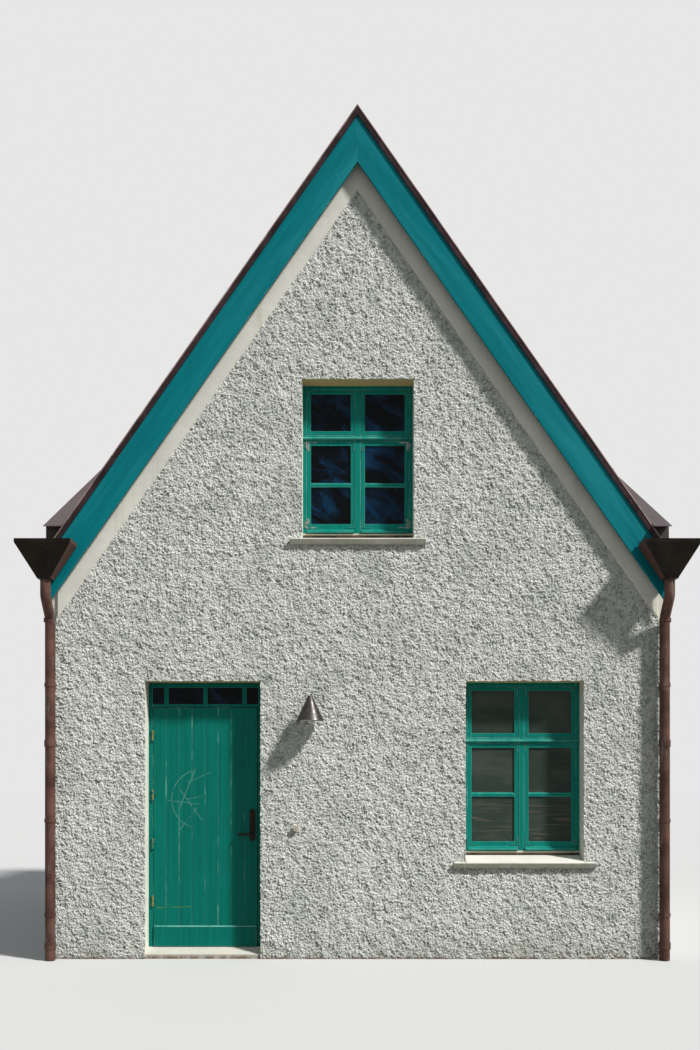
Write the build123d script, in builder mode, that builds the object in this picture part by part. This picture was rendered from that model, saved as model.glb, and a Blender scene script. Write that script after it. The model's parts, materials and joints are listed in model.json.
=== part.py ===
"""A stucco gabled house out of a row: one room wide, steep metal roof, plain party walls.

The origin lies on the ground under the middle of the house. X runs to the right along the
street front, Y from the front to the rear, and Z up. Sizes are in millimetres and levels
are heights above the ground.
"""
from build123d import *
from dataclasses import dataclass
from math import cos, radians, tan
import os

# Walls and floors
house_width = 5100
house_depth = 5000
wall_thickness = 280
party_wall_thickness = 200
ground_floor_level = 75
upper_floor_level = 2750
upper_floor_thickness = 220
lintel_level = 2295

# Roof slopes
roof_pitch = 55
valley_level = 3328.2
roof_overhang = 85
deck_thickness = 130
sheet_thickness = 6
seam_spacing = 370
seam_height = 22
seam_width = 10
ridge_cap_reach = 70
ridge_cap_thickness = 5

# Saddles that fill the valleys against the next roofs
saddle_ridge_level = 4880
saddle_lip_level = 3540
saddle_lip_reach = 170
saddle_deck_thickness = 60
tongue_width = 145
seam_stop = 75

# Verges
trim_depth = 36
trim_upstand = 12
trim_projection = 12
board_bottom_depth = 254
board_thickness = 25
board_end_gap = 15
rake_band_depth = 362
rake_band_thickness = 22
rake_band_bevel = 12
rake_band_end_gap = 80

# Roughcast coat
coat_thickness = 9
coat_start_level = 10
coat_fitting_gap = 0.3

# Hopper heads and downpipes
pipe_inset = 35
pipe_radius = 42
pipe_bore = 38
pipe_wall_gap = 43
pipe_ground_gap = 5
pipe_bend_top_level = 2960
pipe_bend_bottom_level = 2800
pipe_bend_radius = 70
pipe_end_bore_depth = 60
collar_radius = 48
collar_height = 55
collar_levels = (95, 1750)
clip_levels = (360, 1130, 2240)
clip_height = 30
clip_thickness = 5
clip_clearance = 0.3
clip_stem_width = 24
hopper_width = 450
hopper_depth = 205
hopper_rim_height = 30
hopper_top_level = 3405
hopper_bottom_level = 3100
hopper_foot = 112
hopper_wall = 5

# Window and door openings
upper_window_x = 5
upper_window_width = 925
upper_window_bottom_level = 3512
upper_window_head_level = 4790
upper_window_transom_level = 4350
upper_window_bottom_rail = 118
lower_window_x = 1382
lower_window_width = 975
lower_window_bottom_level = 845
lower_window_transom_level = 1809
lower_window_bottom_rail = 115
reveal = 160
joinery_depth = 70
sill_projection = 55
sill_horn = 98
sill_front_thickness = 50
sill_fall = 46
sill_edge_radius = 8

# Window joinery
frame_face = 32
mullion_face = 46
transom_face = 50
frame_stop = 10
sash_setback = 4
sash_thickness = 40
sash_gap = 3
sash_rest_gap = 0.3
stile_face = 33
glass_thickness = 6
glass_setback = 16
glass_clearance = 0.3

# Door
door_x = -1277.5
door_opening_width = 955
door_frame_face = 34
door_stop = 12
door_leaf_thickness = 44
door_clearance = 5
door_latch_gap = 7
door_leaf_top_level = 2085
door_head_face = 42
transom_bar_face = 25
threshold_front_level = 35
kickboard_height = 173
kickboard_thickness = 12
kickboard_margin = 8
kickboard_chamfer = 6

# Door hinges
hinge_levels = (460, 940, 1350, 1850)
hinge_length = 90
hinge_barrel_radius = 8
hinge_barrel_offset = 9
hinge_flap_thickness = 3
hinge_flap_width = 30
hinge_halves_gap = 0.5

# Door handle
handle_from_edge = 40
handle_plate_width = 50
handle_plate_height = 266
handle_plate_thickness = 8
handle_plate_level = 1098
lever_level = 1022
lever_clearance = 0.3
lever_neck_radius = 10
lever_neck_length = 44
lever_length = 112
lever_thickness = 16
lever_height = 20

# Wall lamp and bell push
lamp_door_distance = 414
lamp_wall_distance = 130
lamp_top_level = 2165
lamp_bottom_level = 1961
lamp_top_radius = 15
lamp_bottom_radius = 114
lamp_shell = 5
lamp_recess = 14
lamp_arm_radius = 16
lamp_arm_level = 2085
lamp_rose_radius = 38
lamp_rose_thickness = 12
lamp_clearance = 0.3
bell_door_distance = 293
bell_level = 1080
bell_radius = 25
bell_thickness = 14
bell_button_radius = 9
bell_button_height = 5


@dataclass
class Window:
    """A window of two casements under two small top lights."""

    x: float
    width: float
    bottom: float
    head: float
    transom: float
    bottom_rail: float


upper_window = Window(
    x=upper_window_x,
    width=upper_window_width,
    bottom=upper_window_bottom_level,
    head=upper_window_head_level,
    transom=upper_window_transom_level,
    bottom_rail=upper_window_bottom_rail,
)
lower_window = Window(
    x=lower_window_x,
    width=lower_window_width,
    bottom=lower_window_bottom_level,
    head=lintel_level,
    transom=lower_window_transom_level,
    bottom_rail=lower_window_bottom_rail,
)
rear_lower_windows = [
    Window(side * lower_window.x, lower_window.width, lower_window.bottom, lintel_level,
           lower_window.transom, lower_window.bottom_rail)
    for side in (-1, 1)
]

half_width = house_width / 2
half_depth = house_depth / 2
inner_half_width = half_width - party_wall_thickness
inner_half_depth = half_depth - wall_thickness
deck_half_depth = half_depth + roof_overhang
roof_thickness = sheet_thickness + deck_thickness
slope_rise = tan(radians(roof_pitch))
slope_drop = 1 / cos(radians(roof_pitch))
ridge_level = valley_level + half_width * slope_rise
saddle_half_depth = half_depth + saddle_lip_reach
saddle_rise = (saddle_ridge_level - saddle_lip_level) / saddle_half_depth
saddle_start = (ridge_level - saddle_ridge_level) / slope_rise - saddle_deck_thickness
board_face = roof_overhang + board_thickness
trim_face = board_face + trim_projection
pipe_x = half_width - pipe_inset
pipe_y = half_depth + pipe_wall_gap + pipe_radius
hopper_y = half_depth + trim_face + hopper_depth / 2
frame_y = half_depth - reveal
sill_bottom_drop = sill_fall + sill_front_thickness

os.makedirs("parts", exist_ok=True)
pieces = []


def roof_level(x, depth=0):
    """Level at x of the plane that lies depth under the roof surface."""
    return ridge_level - abs(x) * slope_rise - depth * slope_drop


def saddle_level(y, drop=0):
    """Level at y of the surface that lies drop straight under the saddle."""
    return saddle_ridge_level - abs(y) * saddle_rise - drop


def slope_strip(near, far, inner, outer):
    """Corners, in an upright cross section, of a strip under the right roof slope."""
    return [
        (inner, roof_level(inner, near)),
        (outer, roof_level(outer, near)),
        (outer, roof_level(outer, far)),
        (inner, roof_level(inner, far)),
    ]


def gable_strip(near, far, outer):
    """Corners of a strip that follows both slopes, mitred under the ridge."""
    return [
        (-outer, roof_level(outer, near)),
        (0, roof_level(0, near)),
        (outer, roof_level(outer, near)),
        (outer, roof_level(outer, far)),
        (0, roof_level(0, far)),
        (-outer, roof_level(outer, far)),
    ]


def lights(window):
    """Middle and size, between the frame's members, of each light of a window."""
    left = window.x - window.width / 2 + frame_face
    light_width = (window.width - mullion_face) / 2 - frame_face
    right = window.x + mullion_face / 2
    low = window.bottom + frame_face
    low_height = window.transom - transom_face / 2 - low
    high = window.transom + transom_face / 2
    high_height = window.head - frame_face - high
    return [
        (start + light_width / 2, bottom + height / 2, light_width, height, bottom == low)
        for start in (left, right)
        for bottom, height in ((low, low_height), (high, high_height))
    ]


def pane(window, light):
    """Middle and size of the glass that shows in one light."""
    x, z, width, height, is_casement = light
    edge = sash_gap + stile_face
    bottom_edge = window.bottom_rail - frame_face if is_casement else edge
    return x, z + (bottom_edge - edge) / 2, width - 2 * edge, height - edge - bottom_edge


def make_window_frame(window):
    """The fixed outer frame, mullion and transom, with a rebate round each light."""
    with BuildPart() as frame:
        with BuildSketch(Plane.XZ.offset(frame_y)):
            with Locations((window.x, (window.bottom + window.head) / 2)):
                Rectangle(window.width, window.head - window.bottom)
        extrude(amount=-joinery_depth)
        for x, z, width, height, _ in lights(window):
            with BuildSketch(Plane.XZ.offset(frame_y)):
                with Locations((x, z)):
                    Rectangle(width, height)
            extrude(amount=-(sash_setback + sash_thickness + sash_rest_gap), mode=Mode.SUBTRACT)
            with BuildSketch(Plane.XZ.offset(frame_y)):
                with Locations((x, z)):
                    Rectangle(width - 2 * frame_stop, height - 2 * frame_stop)
            extrude(amount=-joinery_depth, mode=Mode.SUBTRACT)
    return frame.part


def make_sashes(window):
    """The four opening leaves of a window, each resting against its rebate."""
    with BuildPart() as sashes:
        for light in lights(window):
            x, z, width, height, _ = light
            pane_x, pane_z, pane_width, pane_height = pane(window, light)
            with BuildSketch(Plane.XZ.offset(frame_y - sash_setback)):
                with Locations((x, z)):
                    Rectangle(width - 2 * sash_gap, height - 2 * sash_gap)
                with Locations((pane_x, pane_z)):
                    Rectangle(pane_width, pane_height, mode=Mode.SUBTRACT)
            extrude(amount=-sash_thickness)
    return sashes.part


def make_glass(window):
    """One sheet of glass inside each leaf of a window."""
    with BuildPart() as glass:
        for light in lights(window):
            x, z, width, height = pane(window, light)
            with BuildSketch(Plane.XZ.offset(frame_y - glass_setback)):
                with Locations((x, z)):
                    Rectangle(width - 2 * glass_clearance, height - 2 * glass_clearance)
            extrude(amount=-glass_thickness)
    return glass.part


def make_sill(window):
    """A sill through the wall: its top falls outwards, its ends run past the opening."""
    front_top = window.bottom - sill_fall
    bottom = window.bottom - sill_bottom_drop
    nose = half_depth + sill_projection
    with BuildPart() as sill:
        with BuildSketch(Plane.YZ.offset(window.x - window.width / 2)):
            with BuildLine():
                Polyline(
                    (-nose, bottom),
                    (-nose, front_top),
                    (-frame_y, window.bottom),
                    (-inner_half_depth, window.bottom),
                    (-inner_half_depth, bottom),
                    close=True,
                )
            make_face()
        extrude(amount=window.width)
        with BuildSketch(Plane.XZ.offset(half_depth)):
            with Locations((window.x, bottom + sill_front_thickness / 2)):
                Rectangle(window.width + 2 * sill_horn, sill_front_thickness)
        extrude(amount=sill_projection)
        nose_edges = sill.edges().filter_by(Axis.X).group_by(Axis.Y)[0]
        fillet(nose_edges.sort_by(Axis.Z)[-1], sill_edge_radius)
    return sill.part


def make_coat(windows):
    """Roughcast on the front face under the rake band, cut round windows, sills and clips."""
    with BuildPart() as coat:
        with BuildSketch(Plane.XZ.offset(half_depth)):
            with BuildLine():
                Polyline(
                    (-half_width, coat_start_level),
                    (-half_width, roof_level(half_width, rake_band_depth)),
                    (0, roof_level(0, rake_band_depth)),
                    (half_width, roof_level(half_width, rake_band_depth)),
                    (half_width, coat_start_level),
                    close=True,
                )
            make_face()
            for window in windows:
                with Locations((window.x, window.head)):
                    Rectangle(window.width, window.head - window.bottom + sill_bottom_drop,
                              align=(Align.CENTER, Align.MAX), mode=Mode.SUBTRACT)
                with Locations((window.x, window.bottom - sill_bottom_drop)):
                    Rectangle(window.width + 2 * sill_horn, sill_front_thickness,
                              align=(Align.CENTER, Align.MIN), mode=Mode.SUBTRACT)
            with Locations([(side * pipe_x, level) for side in (-1, 1) for level in clip_levels]):
                Rectangle(clip_stem_width, clip_height, align=(Align.CENTER, Align.MIN),
                          mode=Mode.SUBTRACT)
        extrude(amount=coat_thickness)
    return coat.part


# Floors
with BuildPart() as ground_floor:
    Box(2 * inner_half_width, 2 * inner_half_depth, ground_floor_level,
        align=(Align.CENTER, Align.CENTER, Align.MIN))
ground_floor.part.label = "ground_floor"
pieces.append(ground_floor)

with BuildPart() as upper_floor:
    with Locations((0, 0, upper_floor_level)):
        Box(2 * inner_half_width, 2 * inner_half_depth, upper_floor_thickness,
            align=(Align.CENTER, Align.CENTER, Align.MAX))
upper_floor.part.label = "upper_floor"
pieces.append(upper_floor)

# Front wall, in three pieces round the doorway
door_left = door_x - door_opening_width / 2
door_right = door_x + door_opening_width / 2

with BuildPart() as front_wall_left:
    with BuildSketch(Plane.XZ.offset(half_depth)):
        with Locations((-half_width, 0)):
            Rectangle(half_width + door_left, lintel_level, align=(Align.MIN, Align.MIN))
    extrude(amount=-wall_thickness)
front_wall_left.part.label = "front_wall_left"
pieces.append(front_wall_left)

with BuildPart() as front_wall_right:
    with BuildSketch(Plane.XZ.offset(half_depth)):
        with Locations((half_width, 0)):
            Rectangle(half_width - door_right, lintel_level, align=(Align.MAX, Align.MIN))
        with Locations((lower_window.x, lintel_level)):
            Rectangle(lower_window.width, lintel_level - lower_window.bottom + sill_bottom_drop,
                      align=(Align.CENTER, Align.MAX), mode=Mode.SUBTRACT)
    extrude(amount=-wall_thickness)
front_wall_right.part.label = "front_wall_right"
pieces.append(front_wall_right)

with BuildPart() as front_gable:
    with BuildSketch(Plane.XZ.offset(half_depth)):
        with BuildLine():
            Polyline(
                (-half_width, lintel_level),
                (-half_width, roof_level(half_width, roof_thickness)),
                (0, roof_level(0, roof_thickness)),
                (half_width, roof_level(half_width, roof_thickness)),
                (half_width, lintel_level),
                close=True,
            )
        make_face()
        with Locations((upper_window.x, upper_window.head)):
            Rectangle(upper_window.width, upper_window.head - upper_window.bottom + sill_bottom_drop,
                      align=(Align.CENTER, Align.MAX), mode=Mode.SUBTRACT)
    extrude(amount=-wall_thickness)
front_gable.part.label = "front_gable"
pieces.append(front_gable)

# Rear wall, with a window under each side of the same gable
with BuildPart() as rear_wall:
    with BuildSketch(Plane.XZ.offset(-inner_half_depth)):
        with Locations((0, 0)):
            Rectangle(house_width, lintel_level, align=(Align.CENTER, Align.MIN))
        for window in rear_lower_windows:
            with Locations((window.x, lintel_level)):
                Rectangle(window.width, lintel_level - window.bottom + sill_bottom_drop,
                          align=(Align.CENTER, Align.MAX), mode=Mode.SUBTRACT)
    extrude(amount=-wall_thickness)
rear_wall.part.label = "rear_wall"
pieces.append(rear_wall)

with BuildPart() as rear_gable:
    mirror(front_gable.part, about=Plane.XZ)
rear_gable.part.label = "rear_gable"
pieces.append(rear_gable)

# Party walls, whose tops follow the saddles
wall_top_drop = sheet_thickness + saddle_deck_thickness

with BuildPart() as party_wall_right:
    with BuildSketch(Plane.YZ.offset(inner_half_width)):
        with BuildLine():
            Polyline(
                (-inner_half_depth, 0),
                (-inner_half_depth, saddle_level(inner_half_depth, wall_top_drop)),
                (0, saddle_level(0, wall_top_drop)),
                (inner_half_depth, saddle_level(inner_half_depth, wall_top_drop)),
                (inner_half_depth, 0),
                close=True,
            )
        make_face()
    extrude(amount=party_wall_thickness)
party_wall_right.part.label = "party_wall_right"
pieces.append(party_wall_right)

with BuildPart() as party_wall_left:
    mirror(party_wall_right.part, about=Plane.YZ)
party_wall_left.part.label = "party_wall_left"
pieces.append(party_wall_left)

# Roof decks: the boarded slopes, which stop against the party walls
with BuildPart() as roof_deck_right:
    with BuildSketch(Plane.XZ.offset(deck_half_depth)):
        with BuildLine():
            Polyline(slope_strip(sheet_thickness, roof_thickness, 0, half_width), close=True)
        make_face()
    extrude(amount=-2 * deck_half_depth)
    with Locations((inner_half_width, 0, 0)):
        Box(party_wall_thickness, 2 * inner_half_depth, ridge_level,
            align=(Align.MIN, Align.CENTER, Align.MIN), mode=Mode.SUBTRACT)
roof_deck_right.part.label = "roof_deck_right"
pieces.append(roof_deck_right)

with BuildPart() as roof_deck_left:
    mirror(roof_deck_right.part, about=Plane.YZ)
roof_deck_left.part.label = "roof_deck_left"
pieces.append(roof_deck_left)

# Saddle decks: two low slopes over each valley, closed down to the roof deck at both ends
with BuildPart() as right_saddle_deck:
    with BuildSketch(Plane.YZ.offset(saddle_start)):
        with BuildLine():
            Polyline(
                (-deck_half_depth, roof_level(half_width, roof_thickness)),
                (-deck_half_depth, saddle_level(deck_half_depth, sheet_thickness)),
                (0, saddle_level(0, sheet_thickness)),
                (deck_half_depth, saddle_level(deck_half_depth, sheet_thickness)),
                (deck_half_depth, roof_level(half_width, roof_thickness)),
                (inner_half_depth, roof_level(half_width, roof_thickness)),
                (inner_half_depth, saddle_level(inner_half_depth, wall_top_drop)),
                (0, saddle_level(0, wall_top_drop)),
                (-inner_half_depth, saddle_level(inner_half_depth, wall_top_drop)),
                (-inner_half_depth, roof_level(half_width, roof_thickness)),
                close=True,
            )
        make_face()
    extrude(amount=half_width - saddle_start)
    with BuildSketch(Plane.XZ.offset(deck_half_depth)):
        with BuildLine():
            Polyline(
                (0, 0),
                (0, roof_level(0, sheet_thickness)),
                (half_width, roof_level(half_width, sheet_thickness)),
                (half_width, 0),
                close=True,
            )
        make_face()
    extrude(amount=-2 * deck_half_depth, mode=Mode.SUBTRACT)

with BuildPart() as saddle_decks:
    add(right_saddle_deck.part)
    mirror(right_saddle_deck.part, about=Plane.YZ)
saddle_decks.part.label = "saddle_decks"
pieces.append(saddle_decks)

# Roof sheets: flat metal with standing seams, cut along the valleys
seam_count = int(deck_half_depth // seam_spacing)

with BuildPart() as roof_sheet_right:
    for number in range(-seam_count, seam_count + 1):
        with BuildSketch(Plane.XZ.offset(number * seam_spacing + seam_width / 2)):
            with BuildLine():
                Polyline(slope_strip(-seam_height, 0, ridge_cap_reach, half_width), close=True)
            make_face()
        extrude(amount=-seam_width)
    with BuildSketch(Plane.YZ.offset(saddle_start / 2)):
        with BuildLine():
            Polyline(
                (-saddle_half_depth, 0),
                (-saddle_half_depth, saddle_level(saddle_half_depth, -seam_stop)),
                (0, saddle_level(0, -seam_stop)),
                (saddle_half_depth, saddle_level(saddle_half_depth, -seam_stop)),
                (saddle_half_depth, 0),
                close=True,
            )
        make_face()
    extrude(amount=half_width, mode=Mode.SUBTRACT)
    with BuildSketch(Plane.XZ.offset(deck_half_depth)):
        with BuildLine():
            Polyline(slope_strip(0, sheet_thickness, 0, half_width), close=True)
        make_face()
    extrude(amount=-2 * deck_half_depth)
    with BuildSketch(Plane.YZ.offset(saddle_start / 2)):
        with BuildLine():
            Polyline(
                (-saddle_half_depth, 0),
                (-saddle_half_depth, saddle_level(saddle_half_depth)),
                (0, saddle_level(0)),
                (saddle_half_depth, saddle_level(saddle_half_depth)),
                (saddle_half_depth, 0),
                close=True,
            )
        make_face()
    extrude(amount=half_width, mode=Mode.SUBTRACT)
roof_sheet_right.part.label = "roof_sheet_right"
pieces.append(roof_sheet_right)

with BuildPart() as roof_sheet_left:
    mirror(roof_sheet_right.part, about=Plane.YZ)
roof_sheet_left.part.label = "roof_sheet_left"
pieces.append(roof_sheet_left)

# Saddle sheets: seams down both slopes, and a tongue at each end that drains to a hopper
tongue_start = half_width - tongue_width
saddle_seam_count = int((half_width - saddle_start) // seam_spacing)

with BuildPart() as right_saddle_sheet:
    for number in range(saddle_seam_count):
        seam_x = half_width - (number + 0.5) * seam_spacing
        with BuildSketch(Plane.YZ.offset(seam_x - seam_width / 2)):
            with BuildLine():
                Polyline(
                    (-deck_half_depth, saddle_level(deck_half_depth)),
                    (-deck_half_depth, saddle_level(deck_half_depth, -seam_height)),
                    (0, saddle_level(0, -seam_height)),
                    (deck_half_depth, saddle_level(deck_half_depth, -seam_height)),
                    (deck_half_depth, saddle_level(deck_half_depth)),
                    (0, saddle_level(0)),
                    close=True,
                )
            make_face()
        extrude(amount=seam_width)
    with BuildSketch(Plane.XZ.offset(deck_half_depth)):
        with BuildLine():
            Polyline(
                (0, 0),
                (0, roof_level(0, -seam_stop)),
                (half_width, roof_level(half_width, -seam_stop)),
                (half_width, 0),
                close=True,
            )
        make_face()
    extrude(amount=-2 * deck_half_depth, mode=Mode.SUBTRACT)
    with BuildSketch(Plane.YZ.offset(saddle_start)):
        with BuildLine():
            Polyline(
                (-deck_half_depth, saddle_level(deck_half_depth, sheet_thickness)),
                (-deck_half_depth, saddle_level(deck_half_depth)),
                (0, saddle_level(0)),
                (deck_half_depth, saddle_level(deck_half_depth)),
                (deck_half_depth, saddle_level(deck_half_depth, sheet_thickness)),
                (0, saddle_level(0, sheet_thickness)),
                close=True,
            )
        make_face()
    extrude(amount=half_width - saddle_start)
    with BuildSketch(Plane.XZ.offset(deck_half_depth)):
        with BuildLine():
            Polyline(
                (0, 0),
                (0, roof_level(0)),
                (half_width, roof_level(half_width)),
                (half_width, 0),
                close=True,
            )
        make_face()
    extrude(amount=-2 * deck_half_depth, mode=Mode.SUBTRACT)
    with BuildSketch(Plane.YZ.offset(tongue_start)):
        for end in (-1, 1):
            with BuildLine():
                Polyline(
                    (end * deck_half_depth, saddle_level(deck_half_depth, sheet_thickness)),
                    (end * deck_half_depth, saddle_level(deck_half_depth)),
                    (end * saddle_half_depth, saddle_level(saddle_half_depth)),
                    (end * saddle_half_depth, saddle_level(saddle_half_depth, sheet_thickness)),
                    close=True,
                )
            make_face()
    extrude(amount=tongue_width)

with BuildPart() as saddle_sheets:
    add(right_saddle_sheet.part)
    mirror(right_saddle_sheet.part, about=Plane.YZ)
saddle_sheets.part.label = "saddle_sheets"
pieces.append(saddle_sheets)

with BuildPart() as ridge_cap:
    with BuildSketch(Plane.XZ.offset(deck_half_depth)):
        with BuildLine():
            Polyline(gable_strip(-ridge_cap_thickness, 0, ridge_cap_reach), close=True)
        make_face()
    extrude(amount=-2 * deck_half_depth)
ridge_cap.part.label = "ridge_cap"
pieces.append(ridge_cap)

# Verges: a metal trim over two bargeboards, and a smooth band on the wall under them
with BuildPart() as front_trim:
    with BuildSketch(Plane.XZ.offset(half_depth + trim_face)):
        with BuildLine():
            Polyline(gable_strip(-trim_upstand, trim_depth, half_width), close=True)
        make_face()
    extrude(amount=-(board_thickness + trim_projection))

with BuildPart() as verge_trims:
    add(front_trim.part)
    mirror(front_trim.part, about=Plane.XZ)
verge_trims.part.label = "verge_trims"
pieces.append(verge_trims)

with BuildPart() as front_board:
    with BuildSketch(Plane.XZ.offset(half_depth + board_face)):
        with BuildLine():
            Polyline(slope_strip(trim_depth, board_bottom_depth, 0, half_width - board_end_gap),
                     close=True)
        make_face()
    extrude(amount=-board_thickness)

with BuildPart() as bargeboards_right:
    add(front_board.part)
    mirror(front_board.part, about=Plane.XZ)
bargeboards_right.part.label = "bargeboards_right"
pieces.append(bargeboards_right)

with BuildPart() as bargeboards_left:
    mirror(bargeboards_right.part, about=Plane.YZ)
bargeboards_left.part.label = "bargeboards_left"
pieces.append(bargeboards_left)

with BuildPart() as front_band:
    with BuildSketch(Plane.XZ.offset(half_depth + rake_band_thickness)):
        with BuildLine():
            Polyline(gable_strip(roof_thickness, rake_band_depth, half_width - rake_band_end_gap),
                     close=True)
        make_face()
    extrude(amount=-rake_band_thickness)
    lower_edges = front_band.faces().sort_by(Axis.Y)[0].edges().filter_by(
        lambda edge: abs(edge.length - (half_width - rake_band_end_gap) * slope_drop) < 1
    ).sort_by(Axis.Z)[:2]
    chamfer(lower_edges, rake_band_bevel)

with BuildPart() as rake_bands:
    add(front_band.part)
    mirror(front_band.part, about=Plane.XZ)
rake_bands.part.label = "rake_bands"
pieces.append(rake_bands)

# Hopper heads: open funnels against the verge trims, over the downpipes
rim_bottom_level = hopper_top_level - hopper_rim_height

with BuildPart() as hopper:
    with BuildSketch(Plane.XY.offset(rim_bottom_level)):
        with Locations((pipe_x, -hopper_y)):
            Rectangle(hopper_width, hopper_depth)
    with BuildSketch(Plane.XY.offset(hopper_bottom_level)):
        with Locations((pipe_x, -hopper_y)):
            Rectangle(hopper_foot, hopper_foot)
    loft()
    with BuildSketch(Plane.XY.offset(rim_bottom_level)):
        with Locations((pipe_x, -hopper_y)):
            Rectangle(hopper_width, hopper_depth)
    extrude(amount=hopper_rim_height)
    with BuildSketch(Plane.XY.offset(rim_bottom_level)):
        with Locations((pipe_x, -hopper_y)):
            Rectangle(hopper_width - 2 * hopper_wall, hopper_depth - 2 * hopper_wall)
    with BuildSketch(Plane.XY.offset(hopper_bottom_level)):
        with Locations((pipe_x, -hopper_y)):
            Rectangle(hopper_foot - 2 * hopper_wall, hopper_foot - 2 * hopper_wall)
    loft(mode=Mode.SUBTRACT)
    with BuildSketch(Plane.XY.offset(rim_bottom_level)):
        with Locations((pipe_x, -hopper_y)):
            Rectangle(hopper_width - 2 * hopper_wall, hopper_depth - 2 * hopper_wall)
    extrude(amount=hopper_rim_height, mode=Mode.SUBTRACT)
    with BuildSketch(Plane.XY.offset(hopper_bottom_level)):
        with Locations((pipe_x, -hopper_y)):
            Rectangle(hopper_foot, hopper_foot)
            Circle(pipe_bore, mode=Mode.SUBTRACT)
    extrude(amount=-hopper_wall)

with BuildPart() as hoppers_front:
    add(hopper.part)
    mirror(hopper.part, about=Plane.YZ)
hoppers_front.part.label = "hoppers_front"
pieces.append(hoppers_front)

with BuildPart() as hoppers_rear:
    mirror(hoppers_front.part, about=Plane.XZ)
hoppers_rear.part.label = "hoppers_rear"
pieces.append(hoppers_rear)

# Downpipes: straight under the hopper, a swan neck back to the wall, then down it
pipe_top_level = hopper_bottom_level - hopper_wall

with BuildPart() as downpipe:
    with BuildLine() as pipe_route:
        FilletPolyline(
            (pipe_x, -hopper_y, pipe_top_level),
            (pipe_x, -hopper_y, pipe_bend_top_level),
            (pipe_x, -pipe_y, pipe_bend_bottom_level),
            (pipe_x, -pipe_y, pipe_ground_gap),
            radius=pipe_bend_radius,
        )
    with BuildSketch(Plane((pipe_x, -hopper_y, pipe_top_level), z_dir=(0, 0, -1))):
        Circle(pipe_radius)
    sweep()
    for level in collar_levels:
        with BuildSketch(Plane.XY.offset(level)):
            with Locations((pipe_x, -pipe_y)):
                Circle(collar_radius)
        extrude(amount=collar_height)
    with BuildSketch(Plane.XY.offset(pipe_top_level - pipe_end_bore_depth)):
        with Locations((pipe_x, -hopper_y)):
            Circle(pipe_bore)
    extrude(amount=pipe_end_bore_depth, mode=Mode.SUBTRACT)
    with BuildSketch(Plane.XY.offset(pipe_ground_gap)):
        with Locations((pipe_x, -pipe_y)):
            Circle(pipe_bore)
    extrude(amount=pipe_end_bore_depth, mode=Mode.SUBTRACT)

with BuildPart() as front_downpipes:
    add(downpipe.part)
    mirror(downpipe.part, about=Plane.YZ)

with BuildPart() as downpipes:
    add(front_downpipes.part)
    mirror(front_downpipes.part, about=Plane.XZ)
downpipes.part.label = "downpipes"
pieces.append(downpipes)

with BuildPart() as clips:
    for level in clip_levels:
        with BuildSketch(Plane.XY.offset(level)):
            with Locations((pipe_x, -pipe_y)):
                Circle(pipe_radius + clip_clearance + clip_thickness)
                Rectangle(clip_stem_width, pipe_y - half_depth, align=(Align.CENTER, Align.MIN))
                Circle(pipe_radius + clip_clearance, mode=Mode.SUBTRACT)
        extrude(amount=clip_height)

with BuildPart() as front_clips:
    add(clips.part)
    mirror(clips.part, about=Plane.YZ)

with BuildPart() as pipe_clips:
    add(front_clips.part)
    mirror(front_clips.part, about=Plane.XZ)
pipe_clips.part.label = "pipe_clips"
pieces.append(pipe_clips)

# Windows
for window, storey in ((upper_window, "upper"), (lower_window, "lower")):
    with BuildPart() as window_frame:
        add(make_window_frame(window))
    window_frame.part.label = f"{storey}_window_frame"
    pieces.append(window_frame)
    with BuildPart() as window_sashes:
        add(make_sashes(window))
    window_sashes.part.label = f"{storey}_window_sashes"
    pieces.append(window_sashes)
    with BuildPart() as window_glass:
        add(make_glass(window))
    window_glass.part.label = f"{storey}_window_glass"
    pieces.append(window_glass)

rear_window_places = [upper_window, *rear_lower_windows]

rear_joinery = [
    make(window)
    for window in rear_window_places
    for make in (make_window_frame, make_sashes)
]
with BuildPart() as rear_windows:
    for joinery in rear_joinery:
        mirror(joinery, about=Plane.XZ)
rear_windows.part.label = "rear_windows"
pieces.append(rear_windows)

rear_panes = [make_glass(window) for window in rear_window_places]
with BuildPart() as rear_window_glass:
    for panes in rear_panes:
        mirror(panes, about=Plane.XZ)
rear_window_glass.part.label = "rear_window_glass"
pieces.append(rear_window_glass)

front_sills = [make_sill(window) for window in (upper_window, lower_window)]
rear_sills = [make_sill(window) for window in rear_window_places]
with BuildPart() as window_sills:
    add(front_sills)
    for sill in rear_sills:
        mirror(sill, about=Plane.XZ)
window_sills.part.label = "window_sills"
pieces.append(window_sills)

# Doorway
door_opening_left = door_left + door_frame_face
door_opening_right = door_right - door_frame_face
door_opening_top = door_leaf_top_level + door_clearance
leaf_left = door_opening_left + door_clearance
leaf_right = door_opening_right - door_latch_gap
leaf_bottom = ground_floor_level + door_clearance
leaf_middle = (leaf_left + leaf_right) / 2

with BuildPart() as threshold:
    with BuildSketch(Plane.YZ.offset(door_left)):
        with BuildLine():
            Polyline(
                (-half_depth, 0),
                (-half_depth, threshold_front_level),
                (-frame_y, ground_floor_level),
                (-inner_half_depth, ground_floor_level),
                (-inner_half_depth, 0),
                close=True,
            )
        make_face()
    extrude(amount=door_opening_width)
threshold.part.label = "threshold"
pieces.append(threshold)

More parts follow.
